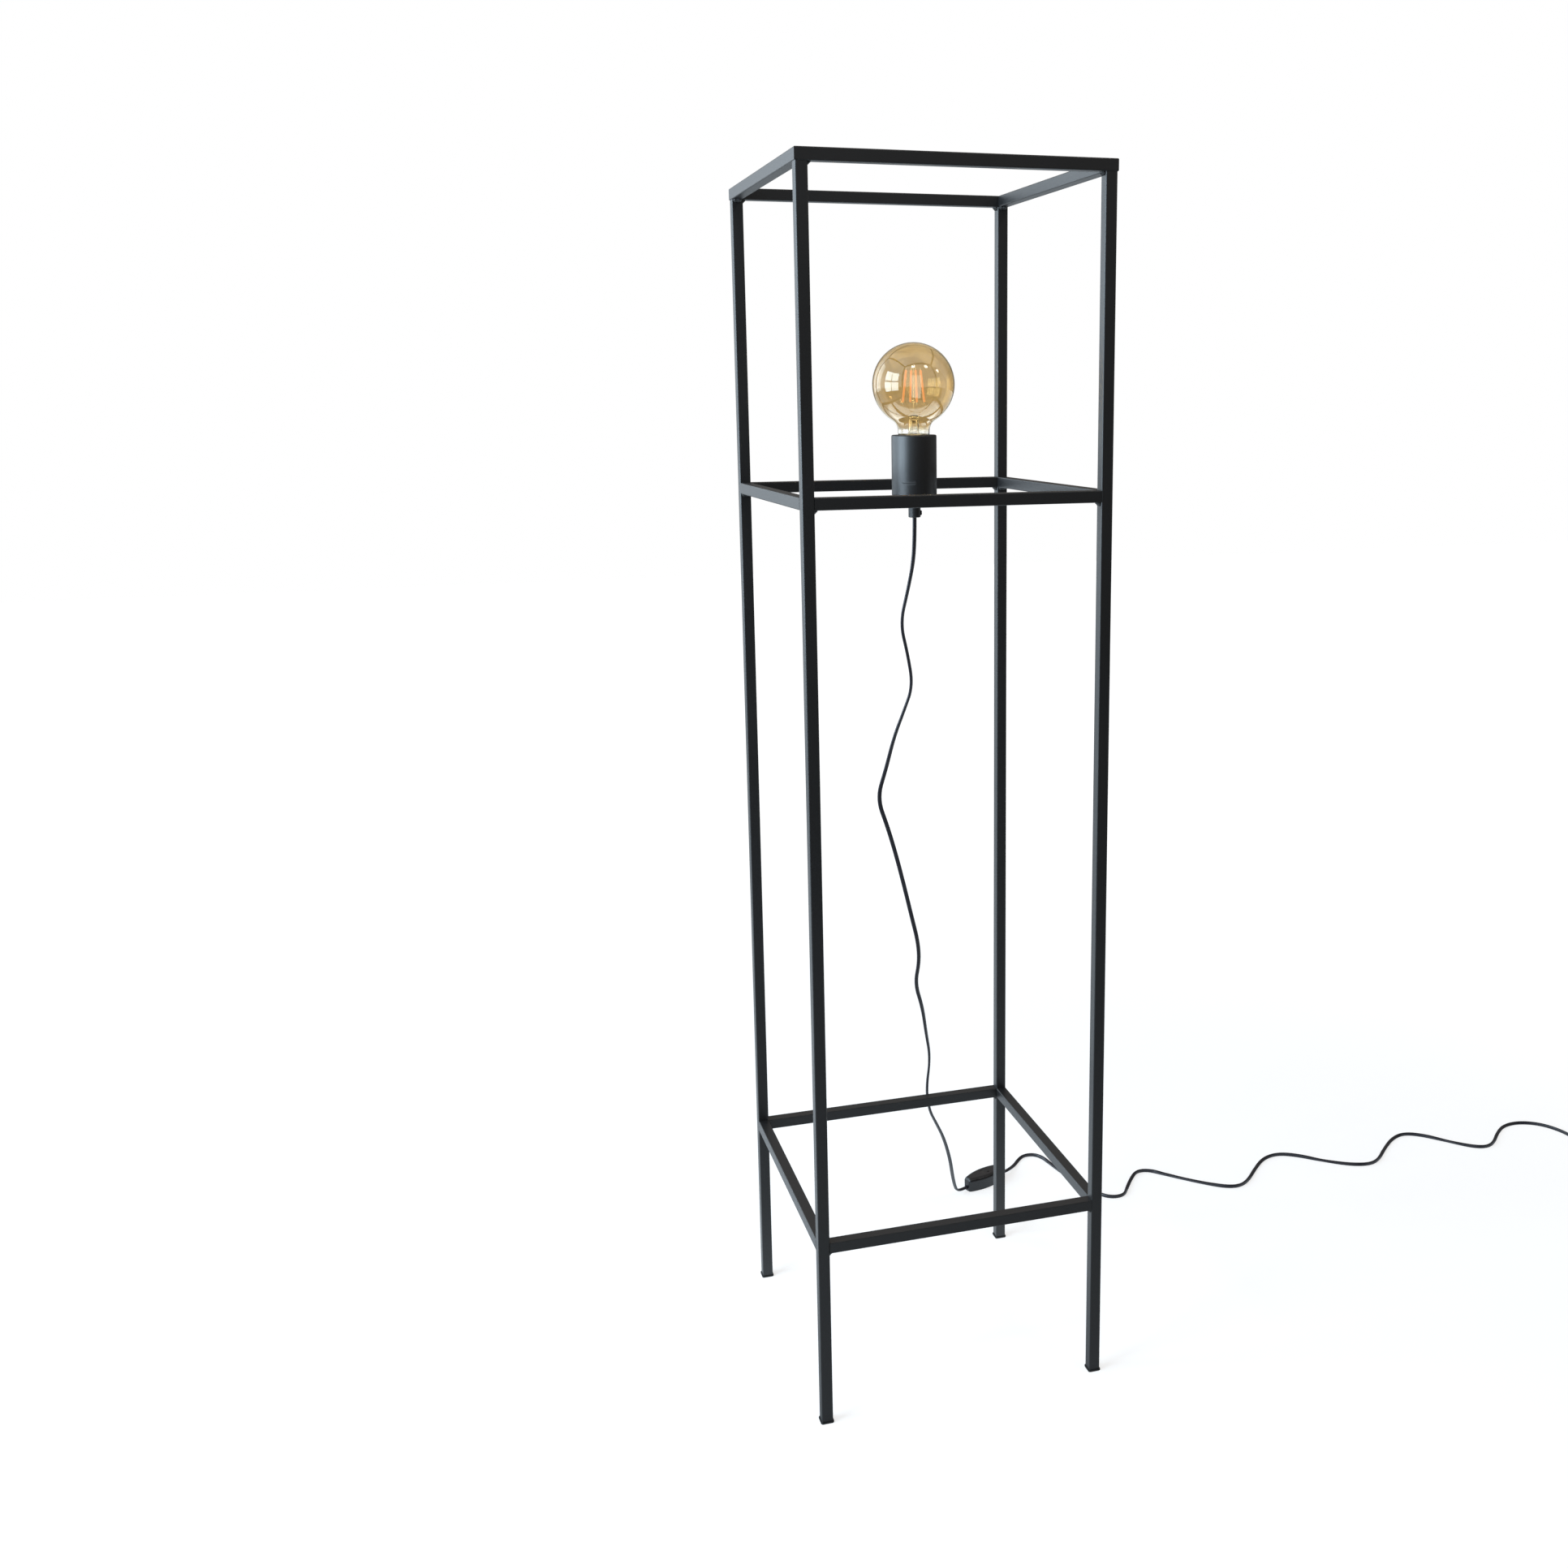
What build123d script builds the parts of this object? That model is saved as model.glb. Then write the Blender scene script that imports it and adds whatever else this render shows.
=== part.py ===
from build123d import *
import math
import os

os.makedirs("parts", exist_ok=True)

# ------------------------------------------------------------------ driving dimensions, mm
# The cage of square steel tube
WIDTH = 350.0
HEIGHT = 1420.0
TUBE = 13.4
TUBE_WALL = 1.2
TUBE_EDGE = 1.3
MIDDLE_RING_TOP = 1072.0
LOW_RING_TOP = 228.0
TOP_RING_PROUD = 0.8
WELD_LEG = 3.4

# Plastic feet pushed into the posts
FOOT_FLANGE = 2.0
FOOT_PROUD = 1.2
FOOT_SPIGOT = 16.0

# Flat bar that carries the lampholder, level with the underside of the middle ring
STRIP_WIDTH = 20.0
STRIP_THICKNESS = 2.5

# Lampholder cup, threaded nipple, nuts and cord grip
CUP_DIAMETER = 52.6
CUP_HEIGHT = 70.0
CUP_WALL = 1.0
CUP_MOUTH = 43.0
NIPPLE_DIAMETER = 10.0
NIPPLE_BORE = 7.0
THREAD_CLEARANCE = 0.1
HOLE_CLEARANCE = 0.5
NUT_ACROSS_FLATS = 14.0
NUT_HEIGHT = 3.0
GRIP_DIAMETER = 14.3
GRIP_HEIGHT = 20.0
GRIP_BORE = 6.6
GRIP_SCREW_DROP = 5.2
GRIP_SCREW_DIAMETER = 3.0
GRIP_SCREW_HEAD = 6.0

# Screw socket and the globe bulb
SOCKET_DIAMETER = 38.5
SOCKET_WALL = 2.4
SOCKET_BOTTOM_GAP = 0.8
SOCKET_TOP = 1124.0
THREAD_SHELL_BORE = 27.0
GLOBE_DIAMETER = 95.2
GLOBE_CENTRE = 1188.3
NECK_DIAMETER = 36.8
NECK_FILLET = 14.0
GLASS_WALL = 0.8
CAP_TIP = 1100.0
CAP_TOP = 1128.9
CAP_CREST = 26.2
CAP_ROOT = 24.2
CAP_PITCH = 3.629
STEM_DIAMETER = 11.6
STEM_WALL = 0.8
STEM_TOP = 1154.0
FILAMENT_LOW_RADIUS = 13.4
FILAMENT_HIGH_RADIUS = 8.4
FILAMENT_BOTTOM = 1165.6
FILAMENT_TOP = 1207.0
FILAMENT_THICKNESS = 2.6

# Inline switch lying on the floor behind the lamp
SWITCH_PLACE = (199.5, 321.0)
SWITCH_TURN = 22.6
SWITCH_LENGTH = 70.0
SWITCH_WIDTH = 28.0
SWITCH_HEIGHT = 20.5
SWITCH_SEAM = 6.0
SWITCH_WALL = 1.8
ROCKER_AXIS_HEIGHT = 15.2
ROCKER_RADIUS = 7.8
ROCKER_WIDTH = 9.4
ROCKER_TILT = 6.5
ROCKER_GAP = 0.3
SWITCH_SCREW_REACH = 12.0
SWITCH_SCREW_SIDE = 8.0
CORE_RADIUS = 1.1

# Flat twin cord, drawn as a round tube of its width
CORD = 5.4
CORD_LYING = CORD / 2
COIL_CENTRE = (1180.0, 143.0)
COIL_START_RADIUS = 33.0
COIL_STEP = 3.0
COIL_LAYER = 5.9

# Flat two-pin plug beside the coil
PLUG_WIDTH = 35.3
PLUG_THICKNESS = 13.7
PLUG_DEPTH = 34.0
PLUG_RELIEF = 26.0
PIN_SPACING = 18.6
PIN_DIAMETER = 4.0
PIN_LENGTH = 19.0
PIN_SLEEVE = 10.0
PIN_NECK = 3.2

# Heights worked out from the ones above
POST_TOP = HEIGHT - TUBE
STRIP_BOTTOM = MIDDLE_RING_TOP - TUBE
STRIP_TOP = STRIP_BOTTOM + STRIP_THICKNESS
CUP_FLOOR = STRIP_TOP + CUP_WALL
SOCKET_BOTTOM = CUP_FLOOR + NUT_HEIGHT + SOCKET_BOTTOM_GAP
GRIP_TOP = STRIP_BOTTOM - NUT_HEIGHT
GRIP_BOTTOM = GRIP_TOP - GRIP_HEIGHT
GRIP_SCREW_HEIGHT = GRIP_BOTTOM + GRIP_SCREW_DROP
CORD_START = GRIP_BOTTOM + 6.0


def cord_way(reach, across=0.0, height=0.0):
    """Point in the switch's own frame: reach along its length, across its width."""
    turn = math.radians(SWITCH_TURN)
    x = SWITCH_PLACE[0] + reach * math.cos(turn) - across * math.sin(turn)
    y = SWITCH_PLACE[1] + reach * math.sin(turn) + across * math.cos(turn)
    return (x, y, height)


# ------------------------------------------------------------------ the cord's route
# From the grip the cord hangs in loose waves, drifts behind the low ring and drops to the switch.
UPPER_ROUTE = [
    (0, 0, CORD_START),
    (0, 0, 1018),
    (-0.5, 4, 984),
    (-6, 10, 949),
    (-14, 16.5, 909),
    (-3, 23.5, 870),
    (5.5, 31, 829),
    (-4.5, 37.5, 797),
    (-15.5, 44, 764),
    (-23.5, 53, 723),
    (-33, 62, 684),
    (-17, 71.5, 643),
    (-2.5, 82, 599),
    (11.5, 94, 552),
    (24, 105, 508),
    (34.5, 114, 472),
    (38.5, 122, 441),
    (35, 131, 408),
    (48.5, 142, 369),
    (57, 154, 327),
    (67, 167, 284),
    (65.5, 183, 232),
    (72, 190, 196),
    (85, 203, 171),
    (103.5, 222, 135),
    (119.5, 243, 90),
    (131, 268, 52),
    (141.5, 289, 22),
    cord_way(-54, height=SWITCH_SEAM),
    cord_way(-33, height=SWITCH_SEAM),
]

# From the switch it lies on the floor in uneven waves and leaves to the right.
LOWER_ROUTE = [
    cord_way(33, height=SWITCH_SEAM),
    cord_way(48, height=SWITCH_SEAM),
    (261, 357, CORD_LYING),
    (274, 373, CORD_LYING),
    (287, 384, CORD_LYING),
    (303, 383, CORD_LYING),
    (313, 370, CORD_LYING),
    (318, 347, CORD_LYING),
    (324, 315, CORD_LYING),
    (333, 284, CORD_LYING),
    (343, 252, CORD_LYING),
    (354, 226, CORD_LYING),
    (369, 216, CORD_LYING),
    (386, 219, CORD_LYING),
    (397, 236, CORD_LYING),
    (418, 265, CORD_LYING),
    (434, 281, CORD_LYING),
    (452, 279, CORD_LYING),
    (470, 262, CORD_LYING),
    (494, 237, CORD_LYING),
    (520, 212, CORD_LYING),
    (543, 193, CORD_LYING),
    (564, 190, CORD_LYING),
    (585, 204, CORD_LYING),
    (612, 234, CORD_LYING),
    (640, 259, CORD_LYING),
    (668, 266, CORD_LYING),
    (694, 253, CORD_LYING),
    (725, 225, CORD_LYING),
    (757, 200, CORD_LYING),
    (785, 190, CORD_LYING),
    (808, 199, CORD_LYING),
    (838, 230, CORD_LYING),
    (870, 257, CORD_LYING),
    (897, 266, CORD_LYING),
    (922, 252, CORD_LYING),
    (950, 221, CORD_LYING),
    (974, 193, CORD_LYING),
    (994, 184, CORD_LYING),
    (1014, 193, CORD_LYING),
    (1042, 222, CORD_LYING),
    (1068, 241, CORD_LYING),
    (1098, 243, CORD_LYING),
    (1126, 228, CORD_LYING),
    (1142, 201, CORD_LYING),
    (1147, 172, CORD_LYING),
    (1147, 143 + CORD, CORD_LYING),
]

# From the coil's upper layer the tail comes down to the plug.
TAIL_ROUTE = [
    (1141, 143 - CORD, CORD_LYING + COIL_LAYER),
    (1141, 122, CORD_LYING + COIL_LAYER),
    (1142.5, 104, 5.4),
    (1146, 86, 4.6),
    (1152, 69, PLUG_THICKNESS / 2),
    (1158, 54, PLUG_THICKNESS / 2),
]


# ------------------------------------------------------------------ shared shapes
def turned(*edges):
    """Solid of revolution about Z, from the edges of its outline drawn in radius and height."""
    return revolve(Plane.XZ * make_face(edges), Axis.Z)


def ring(outer, inner, bottom, top):
    """Plain upright ring between two heights, given by its two diameters."""
    disc = Circle(outer / 2) - Circle(inner / 2)
    return Pos(0, 0, bottom) * extrude(disc, top - bottom)


def group(solids):
    """Several separate solids kept together in one node."""
    return Compound(children=list(solids))


def square_tube(length):
    """Square steel tube along +Z from the origin, open at both ends."""
    bore = TUBE - 2 * TUBE_WALL
    outer = RectangleRounded(TUBE, TUBE, TUBE_EDGE)
    inner = RectangleRounded(bore, bore, TUBE_EDGE / 3)
    return extrude(outer - inner, length)


def rail_between_posts(ring_top):
    """Front rail of a ring: a tube whose square ends butt on the two front posts."""
    length = WIDTH - 2 * TUBE
    tube = Rot(0, 90, 0) * square_tube(length)
    return Pos(-length / 2, TUBE / 2 - WIDTH / 2, ring_top - TUBE / 2) * tube


def mitred_rail():
    """Front rail of the top ring, cut at 45 degrees where it meets its neighbours."""
    length = WIDTH + 2 * TOP_RING_PROUD
    tube = Pos(-length / 2, 0, 0) * Rot(0, 90, 0) * square_tube(length)
    rail = Pos(0, (TUBE - length) / 2, HEIGHT - TUBE / 2) * tube
    wedge = make_face(Polyline((0, 0), (-length, -length), (length, -length), close=True))
    return rail & Pos(0, 0, HEIGHT - TUBE) * extrude(wedge, TUBE)


def weld_beads(rail_bottom):
    """Two fillet welds under one front rail, in the corners with its posts."""
    corner = WIDTH / 2 - TUBE
    face = make_face([
        Line((0, 0), (WELD_LEG, 0)),
        ThreePointArc((WELD_LEG, 0), (WELD_LEG * 0.56, -WELD_LEG * 0.56), (0, -WELD_LEG)),
        Line((0, -WELD_LEG), (0, 0)),
    ])
    bead = extrude(Plane.XZ * face, TUBE / 2 - TUBE_EDGE, both=True)
    left = Pos(-corner, TUBE / 2 - WIDTH / 2, rail_bottom) * bead
    return [left, mirror(left, Plane.YZ)]


# ------------------------------------------------------------------ the cage
QUARTERS = {"front": 0, "right": 90, "back": 180, "left": 270}
POST_SIDES = {
    "front_left": (-1, -1),
    "front_right": (1, -1),
    "back_left": (-1, 1),
    "back_right": (1, 1),
}


def make_posts():
    """Four corner posts, standing in the feet's flanges and carrying the top ring."""
    post = square_tube(POST_TOP - FOOT_FLANGE)
    offset = (WIDTH - TUBE) / 2
    posts = {}
    for side, (x, y) in POST_SIDES.items():
        posts["post_" + side] = Pos(x * offset, y * offset, FOOT_FLANGE) * post
    return posts


def make_rings():
    """Top, middle and low ring, four rails each, turned about the lamp's axis."""
    rails = {}
    for side, turn in QUARTERS.items():
        rails["top_rail_" + side] = Rot(0, 0, turn) * mitred_rail()
        rails["middle_rail_" + side] = Rot(0, 0, turn) * rail_between_posts(MIDDLE_RING_TOP)
        rails["low_rail_" + side] = Rot(0, 0, turn) * rail_between_posts(LOW_RING_TOP)
    return rails


def make_welds():
    """Eight weld beads to a ring, one in each corner under a rail."""
    welds = {}
    for name, ring_top in (("top", HEIGHT), ("middle", MIDDLE_RING_TOP), ("low", LOW_RING_TOP)):
        beads = []
        for turn in QUARTERS.values():
            beads += [Rot(0, 0, turn) * bead for bead in weld_beads(ring_top - TUBE)]
        welds["welds_" + name] = group(beads)
    return welds


def make_feet():
    """Plastic feet: a rounded flange under the post and a barbed spigot up its bore."""
    size = TUBE + 2 * FOOT_PROUD
    bore = TUBE - 2 * TUBE_WALL
    clearance = 0.4
    flange = extrude(RectangleRounded(size, size, 2.6), FOOT_FLANGE)
    flange = chamfer(flange.edges().group_by(Axis.Z)[0], 0.4)
    spigot = extrude(RectangleRounded(bore - clearance, bore - clearance, 1.0), FOOT_SPIGOT)
    barb_outline = RectangleRounded(bore - clearance / 4, bore - clearance / 4, 1.0)
    foot = flange + Pos(0, 0, FOOT_FLANGE) * spigot
    for height in (4.0, 8.0, 12.0):
        foot += Pos(0, 0, FOOT_FLANGE + height) * extrude(barb_outline, 1.2)
    offset = (WIDTH - TUBE) / 2
    feet = {}
    for side, (x, y) in POST_SIDES.items():
        feet["foot_plug_" + side] = Pos(x * offset, y * offset) * foot
    return feet


# ------------------------------------------------------------------ the lampholder
def make_strip():
    """Flat bar welded between the left and right middle rails, drilled for the nipple."""
    length = WIDTH - 2 * TUBE
    bar = Pos(0, 0, STRIP_BOTTOM) * extrude(Rectangle(length, STRIP_WIDTH), STRIP_THICKNESS)
    drilled = Circle((NIPPLE_DIAMETER + HOLE_CLEARANCE) / 2)
    hole = Pos(0, 0, STRIP_BOTTOM) * extrude(drilled, STRIP_THICKNESS)
    return bar - hole


def make_cup():
    """Drawn steel cup round the socket, its rim rolled inwards to a smaller mouth."""
    outer = CUP_DIAMETER / 2
    inner = outer - CUP_WALL
    mouth = CUP_MOUTH / 2
    hole = (NIPPLE_DIAMETER + HOLE_CLEARANCE) / 2
    low = STRIP_TOP
    top = STRIP_TOP + CUP_HEIGHT
    heel = 1.6
    rim = 2.0
    bend = math.sqrt(0.5)
    return turned(
        Line((hole, low), (outer - heel, low)),
        ThreePointArc((outer - heel, low),
                      (outer - heel * (1 - bend), low + heel * (1 - bend)),
                      (outer, low + heel)),
        Line((outer, low + heel), (outer, top - rim)),
        ThreePointArc((outer, top - rim),
                      (outer - rim * (1 - bend), top - rim * (1 - bend)),
                      (outer - rim, top)),
        Line((outer - rim, top), (mouth, top)),
        Line((mouth, top), (mouth, top - CUP_WALL)),
        Line((mouth, top - CUP_WALL), (inner, top - CUP_WALL)),
        Line((inner, top - CUP_WALL), (inner, low + CUP_WALL)),
        Line((inner, low + CUP_WALL), (hole, low + CUP_WALL)),
        Line((hole, low + CUP_WALL), (hole, low)),
    )


def make_nipple():
    """Hollow all-thread nipple that joins cup, strip, socket and cord grip."""
    bottom = GRIP_BOTTOM + 10.5
    top = SOCKET_BOTTOM + 11.0
    tube = ring(NIPPLE_DIAMETER, NIPPLE_BORE, bottom, top)
    return chamfer(tube.edges().filter_by(GeomType.CIRCLE).group_by(SortBy.RADIUS)[-1], 0.5)


def make_nuts():
    """Two thin hexagon nuts, one on the cup's floor and one under the strip."""
    hexagon = RegularPolygon(NUT_ACROSS_FLATS / 2, 6, major_radius=False)
    bore = Circle((NIPPLE_DIAMETER + THREAD_CLEARANCE) / 2)
    face = NUT_ACROSS_FLATS / 2 + 0.2
    corner = face + 1.2
    bevel = 0.7
    outline = turned(
        Line((0, 0), (face, 0)),
        Line((face, 0), (corner, bevel)),
        Line((corner, bevel), (corner, NUT_HEIGHT - bevel)),
        Line((corner, NUT_HEIGHT - bevel), (face, NUT_HEIGHT)),
        Line((face, NUT_HEIGHT), (0, NUT_HEIGHT)),
        Line((0, NUT_HEIGHT), (0, 0)),
    )
    nut = extrude(hexagon - bore, NUT_HEIGHT) & outline
    return group([Pos(0, 0, CUP_FLOOR) * nut, Pos(0, 0, STRIP_BOTTOM - NUT_HEIGHT) * nut])


def make_grip():
    """Turned cord grip screwed on the nipple's lower end, tapped on its right side."""
    radius = GRIP_DIAMETER / 2
    bore = GRIP_BORE / 2
    thread = (NIPPLE_DIAMETER + THREAD_CLEARANCE) / 2
    step = GRIP_BOTTOM + 10.3
    mouth = 0.8
    body = turned(
        Line((bore + mouth, GRIP_BOTTOM), (radius - mouth, GRIP_BOTTOM)),
        Line((radius - mouth, GRIP_BOTTOM), (radius, GRIP_BOTTOM + mouth)),
        Line((radius, GRIP_BOTTOM + mouth), (radius, GRIP_TOP - mouth)),
        Line((radius, GRIP_TOP - mouth), (radius - mouth, GRIP_TOP)),
        Line((radius - mouth, GRIP_TOP), (thread, GRIP_TOP)),
        Line((thread, GRIP_TOP), (thread, step)),
        Line((thread, step), (bore, step)),
        Line((bore, step), (bore, GRIP_BOTTOM + mouth)),
        Line((bore, GRIP_BOTTOM + mouth), (bore + mouth, GRIP_BOTTOM)),
    )
    tapping = Rot(0, 90, 0) * Cylinder(
        GRIP_SCREW_DIAMETER / 2 + 0.05, radius, align=(Align.CENTER, Align.CENTER, Align.MIN))
    return body - Pos(0, 0, GRIP_SCREW_HEIGHT) * tapping


def make_grip_screw():
    """Nylon clamping screw whose slotted round head stands out of the grip's right side."""
    tip = CORD / 2 + 0.15
    reach = GRIP_DIAMETER / 2 - tip
    head_height = 1.4
    from_end = (Align.CENTER, Align.CENTER, Align.MIN)
    shank = Cylinder(GRIP_SCREW_DIAMETER / 2, reach, align=from_end)
    head = Cylinder(GRIP_SCREW_HEAD / 2, head_height, align=from_end)
    head = Pos(0, 0, reach) * fillet(head.edges().group_by(Axis.Z)[-1], 0.8)
    slot = Pos(0, 0, reach + head_height) * Box(0.8, GRIP_SCREW_HEAD + 1.0, 1.2)
    return Pos(tip, 0, GRIP_SCREW_HEIGHT) * Rot(0, 90, 0) * (shank + head - slot)


# ------------------------------------------------------------------ the screw socket
def make_socket_cap():
    """Moulded lower half of the socket, with the collar that screws on the nipple."""
    outer = SOCKET_DIAMETER / 2
    collar = 8.0
    joint = SOCKET_BOTTOM + 16.0
    shoulder = 4.0
    hole = (NIPPLE_DIAMETER + THREAD_CLEARANCE) / 2
    bend = math.sqrt(0.5)
    return turned(
        Line((hole, SOCKET_BOTTOM), (outer - shoulder, SOCKET_BOTTOM)),
        ThreePointArc((outer - shoulder, SOCKET_BOTTOM),
                      (outer - shoulder * (1 - bend), SOCKET_BOTTOM + shoulder * (1 - bend)),
                      (outer, SOCKET_BOTTOM + shoulder)),
        Line((outer, SOCKET_BOTTOM + shoulder), (outer, joint)),
        Line((outer, joint), (outer - SOCKET_WALL, joint)),
        Line((outer - SOCKET_WALL, joint), (outer - SOCKET_WALL, SOCKET_BOTTOM + shoulder)),
        Line((outer - SOCKET_WALL, SOCKET_BOTTOM + shoulder), (collar, SOCKET_BOTTOM + shoulder)),
        Line((collar, SOCKET_BOTTOM + shoulder), (collar, SOCKET_BOTTOM + 9.0)),
        Line((collar, SOCKET_BOTTOM + 9.0), (hole, SOCKET_BOTTOM + 9.0)),
        Line((hole, SOCKET_BOTTOM + 9.0), (hole, SOCKET_BOTTOM)),
    )


def make_socket_sleeve():
    """Moulded upper half of the socket, open at the top for the bulb's cap."""
    joint = SOCKET_BOTTOM + 16.0
    sleeve = ring(SOCKET_DIAMETER, SOCKET_DIAMETER - 2 * SOCKET_WALL, joint, SOCKET_TOP)
    lip = ring(SOCKET_DIAMETER - SOCKET_WALL, THREAD_SHELL_BORE + 2.4, SOCKET_TOP - 2.0, SOCKET_TOP)
    return sleeve + lip


def make_socket_insert():
    """Ceramic block that holds the thread shell and the contacts inside the sleeve."""
    block_diameter = SOCKET_DIAMETER - 2 * SOCKET_WALL - 0.4
    bottom = SOCKET_BOTTOM + 17.0
    top = CAP_TIP - 3.0
    block = ring(block_diameter, 6.0, bottom, top)
    for side in (-1, 1):
        pocket = Pos(side * 10.0, 0, bottom) * Box(6.0, 9.0, 8.0)
        block -= pocket
    return block


def make_thread_shell():
    """Rolled brass shell that takes the bulb's thread."""
    wall = 0.5
    return ring(THREAD_SHELL_BORE + 2 * wall, THREAD_SHELL_BORE, CAP_TIP - 2.8, SOCKET_TOP - 2.2)


def make_socket_contacts():
    """Sprung centre contact and the side tab that feeds the thread shell."""
    leaf_top = CAP_TIP - 0.3
    leaf = Pos(2.0, 0, leaf_top - 0.3) * Box(11.0, 5.0, 0.6)
    foot = Pos(7.2, 0, CAP_TIP - 1.75) * Box(0.6, 5.0, 2.3)
    tab = Pos(-11.6, 0, CAP_TIP - 2.6) * Box(2.8, 4.0, 0.6)
    return group([leaf + foot, tab])


def make_terminal_screws():
    """Two brass terminal screws in the pockets under the ceramic block."""
    height = SOCKET_BOTTOM + 17.0
    head = Cylinder(2.4, 2.0) + Pos(0, 0, 2.0) * Cylinder(1.4, 2.0)
    slot = Pos(0, 0, -1.0) * Box(0.6, 5.0, 0.8)
    screw = head - slot
    return group([Pos(side * 10.0, 0, height) * screw for side in (-1, 1)])


def make_socket_cores():
    """The cord inside the nipple and its two cores, bent out to the terminals."""
    fork = SOCKET_BOTTOM + 11.5
    sheath = Pos(0, 0, CORD_START) * extrude(Circle(CORD / 2), fork - CORD_START)
    solids = [sheath]
    for side in (-1, 1):
        route = [(side * 1.3, 0, fork), (side * 1.3, 0, fork + 2.6), (side * 7.0, 0, fork + 4.2)]
        path = FilletPolyline(*route, radius=1.6)
        section = Plane(origin=path @ 0, z_dir=path % 0) * Circle(CORE_RADIUS)
        solids.append(sweep(section, path=path))
    return group(solids)


# ------------------------------------------------------------------ the bulb
def make_bulb_glass():
    """Blown glass globe: a sphere that runs through a concave fillet into a short neck."""
    radius = GLOBE_DIAMETER / 2
    neck = NECK_DIAMETER / 2
    fillet_x = neck + NECK_FILLET
    fillet_z = GLOBE_CENTRE - math.sqrt((radius + NECK_FILLET) ** 2 - fillet_x ** 2)
    mouth = CAP_CREST / 2 + 0.1
    heel = neck - mouth
    heel_z = CAP_TOP - 0.8 + heel
    reach = math.hypot(fillet_x, GLOBE_CENTRE - fillet_z)
    lean = math.atan2(GLOBE_CENTRE - fillet_z, fillet_x)

    def wall_edges(depth):
        """Edges of the outline, a given depth inside the outer surface."""
        globe = radius - depth
        tight = NECK_FILLET + depth
        side = neck - depth
        meet = (fillet_x * globe / reach, GLOBE_CENTRE - (GLOBE_CENTRE - fillet_z) * globe / reach)
        half = lean / 2
        waist = (fillet_x - tight * math.cos(half), fillet_z + tight * math.sin(half))
        small = heel - depth
        bend = math.sqrt(0.5)
        return [
            ThreePointArc((0, GLOBE_CENTRE + globe), (globe, GLOBE_CENTRE), meet),
            ThreePointArc(meet, waist, (side, fillet_z)),
            Line((side, fillet_z), (side, heel_z)),
            ThreePointArc((side, heel_z),
                          (mouth + small * bend, heel_z - small * bend),
                          (mouth, heel_z - small)),
        ]

    outer = wall_edges(0)
    inner = wall_edges(GLASS_WALL)
    close_top = Line((0, GLOBE_CENTRE + radius - GLASS_WALL), (0, GLOBE_CENTRE + radius))
    close_mouth = Line((mouth, heel_z - heel), (mouth, heel_z - heel + GLASS_WALL))
    return turned(*outer, close_mouth, *inner, close_top)


def make_bulb_cap():
    """Pressed metal screw cap with four rolled turns of thread and a plain collar."""
    crest = CAP_CREST / 2
    root = CAP_ROOT / 2
    inner = root - 0.5
    start = CAP_TIP + 4.4
    turns = 4
    edges = [Line((inner, start), (root, start))]
    for turn in range(turns):
        low = start + turn * CAP_PITCH
        middle = low + CAP_PITCH / 2
        high = low + CAP_PITCH
        edges.append(ThreePointArc((root, low), (crest, middle), (root, high)))
    thread_top = start + turns * CAP_PITCH
    edges += [
        Line((root, thread_top), (root, thread_top + 1.0)),
        Line((root, thread_top + 1.0), (crest, thread_top + 2.0)),
        Line((crest, thread_top + 2.0), (crest, CAP_TOP)),
        Line((crest, CAP_TOP), (inner, CAP_TOP)),
        Line((inner, CAP_TOP), (inner, start)),
    ]
    return turned(*edges)


def make_bulb_insulator():
    """Black glass cone that parts the cap from the tip contact."""
    low = CAP_TIP + 1.6
    high = CAP_TIP + 4.4
    return turned(
        Line((0, low), (5.4, low)),
        Line((5.4, low), (CAP_ROOT / 2, high)),
        Line((CAP_ROOT / 2, high), (0, high)),
        Line((0, high), (0, low)),
    )


def make_bulb_tip():
    """Solder dot at the very bottom of the bulb."""
    radius = 4.8
    top = CAP_TIP + 1.6
    edge = CAP_TIP + 0.7
    return turned(
        ThreePointArc((0, CAP_TIP), (radius * 0.6, CAP_TIP + 0.22), (radius, edge)),
        Line((radius, edge), (radius, top)),
        Line((radius, top), (0, top)),
        Line((0, top), (0, CAP_TIP)),
    )


def make_bulb_stem():
    """Glass tube on the axis: flared on to the cap's edge and pinched shut at its top."""
    rim = CAP_CREST / 2 - 0.1
    outer = STEM_DIAMETER / 2
    inner = outer - STEM_WALL
    flare = rim - outer
    flare_top = CAP_TOP + STEM_WALL + flare
    shoulder = STEM_TOP - 3.4
    pinch = 2.8
    bend = math.sqrt(0.5)
    wide_flare = flare + STEM_WALL
    return turned(
        Line((rim, CAP_TOP), (rim, CAP_TOP + STEM_WALL)),
        ThreePointArc((rim, CAP_TOP + STEM_WALL),
                      (rim - flare * bend, flare_top - flare * bend),
                      (outer, flare_top)),
        Line((outer, flare_top), (outer, shoulder)),
        Line((outer, shoulder), (pinch, STEM_TOP)),
        Line((pinch, STEM_TOP), (0, STEM_TOP)),
        Line((0, STEM_TOP), (0, shoulder)),
        Line((0, shoulder), (inner, shoulder - 1.0)),
        Line((inner, shoulder - 1.0), (inner, flare_top)),
        ThreePointArc((inner, flare_top),
                      (rim - wide_flare * bend, flare_top - wide_flare * bend),
                      (rim, CAP_TOP)),
    )


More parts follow.
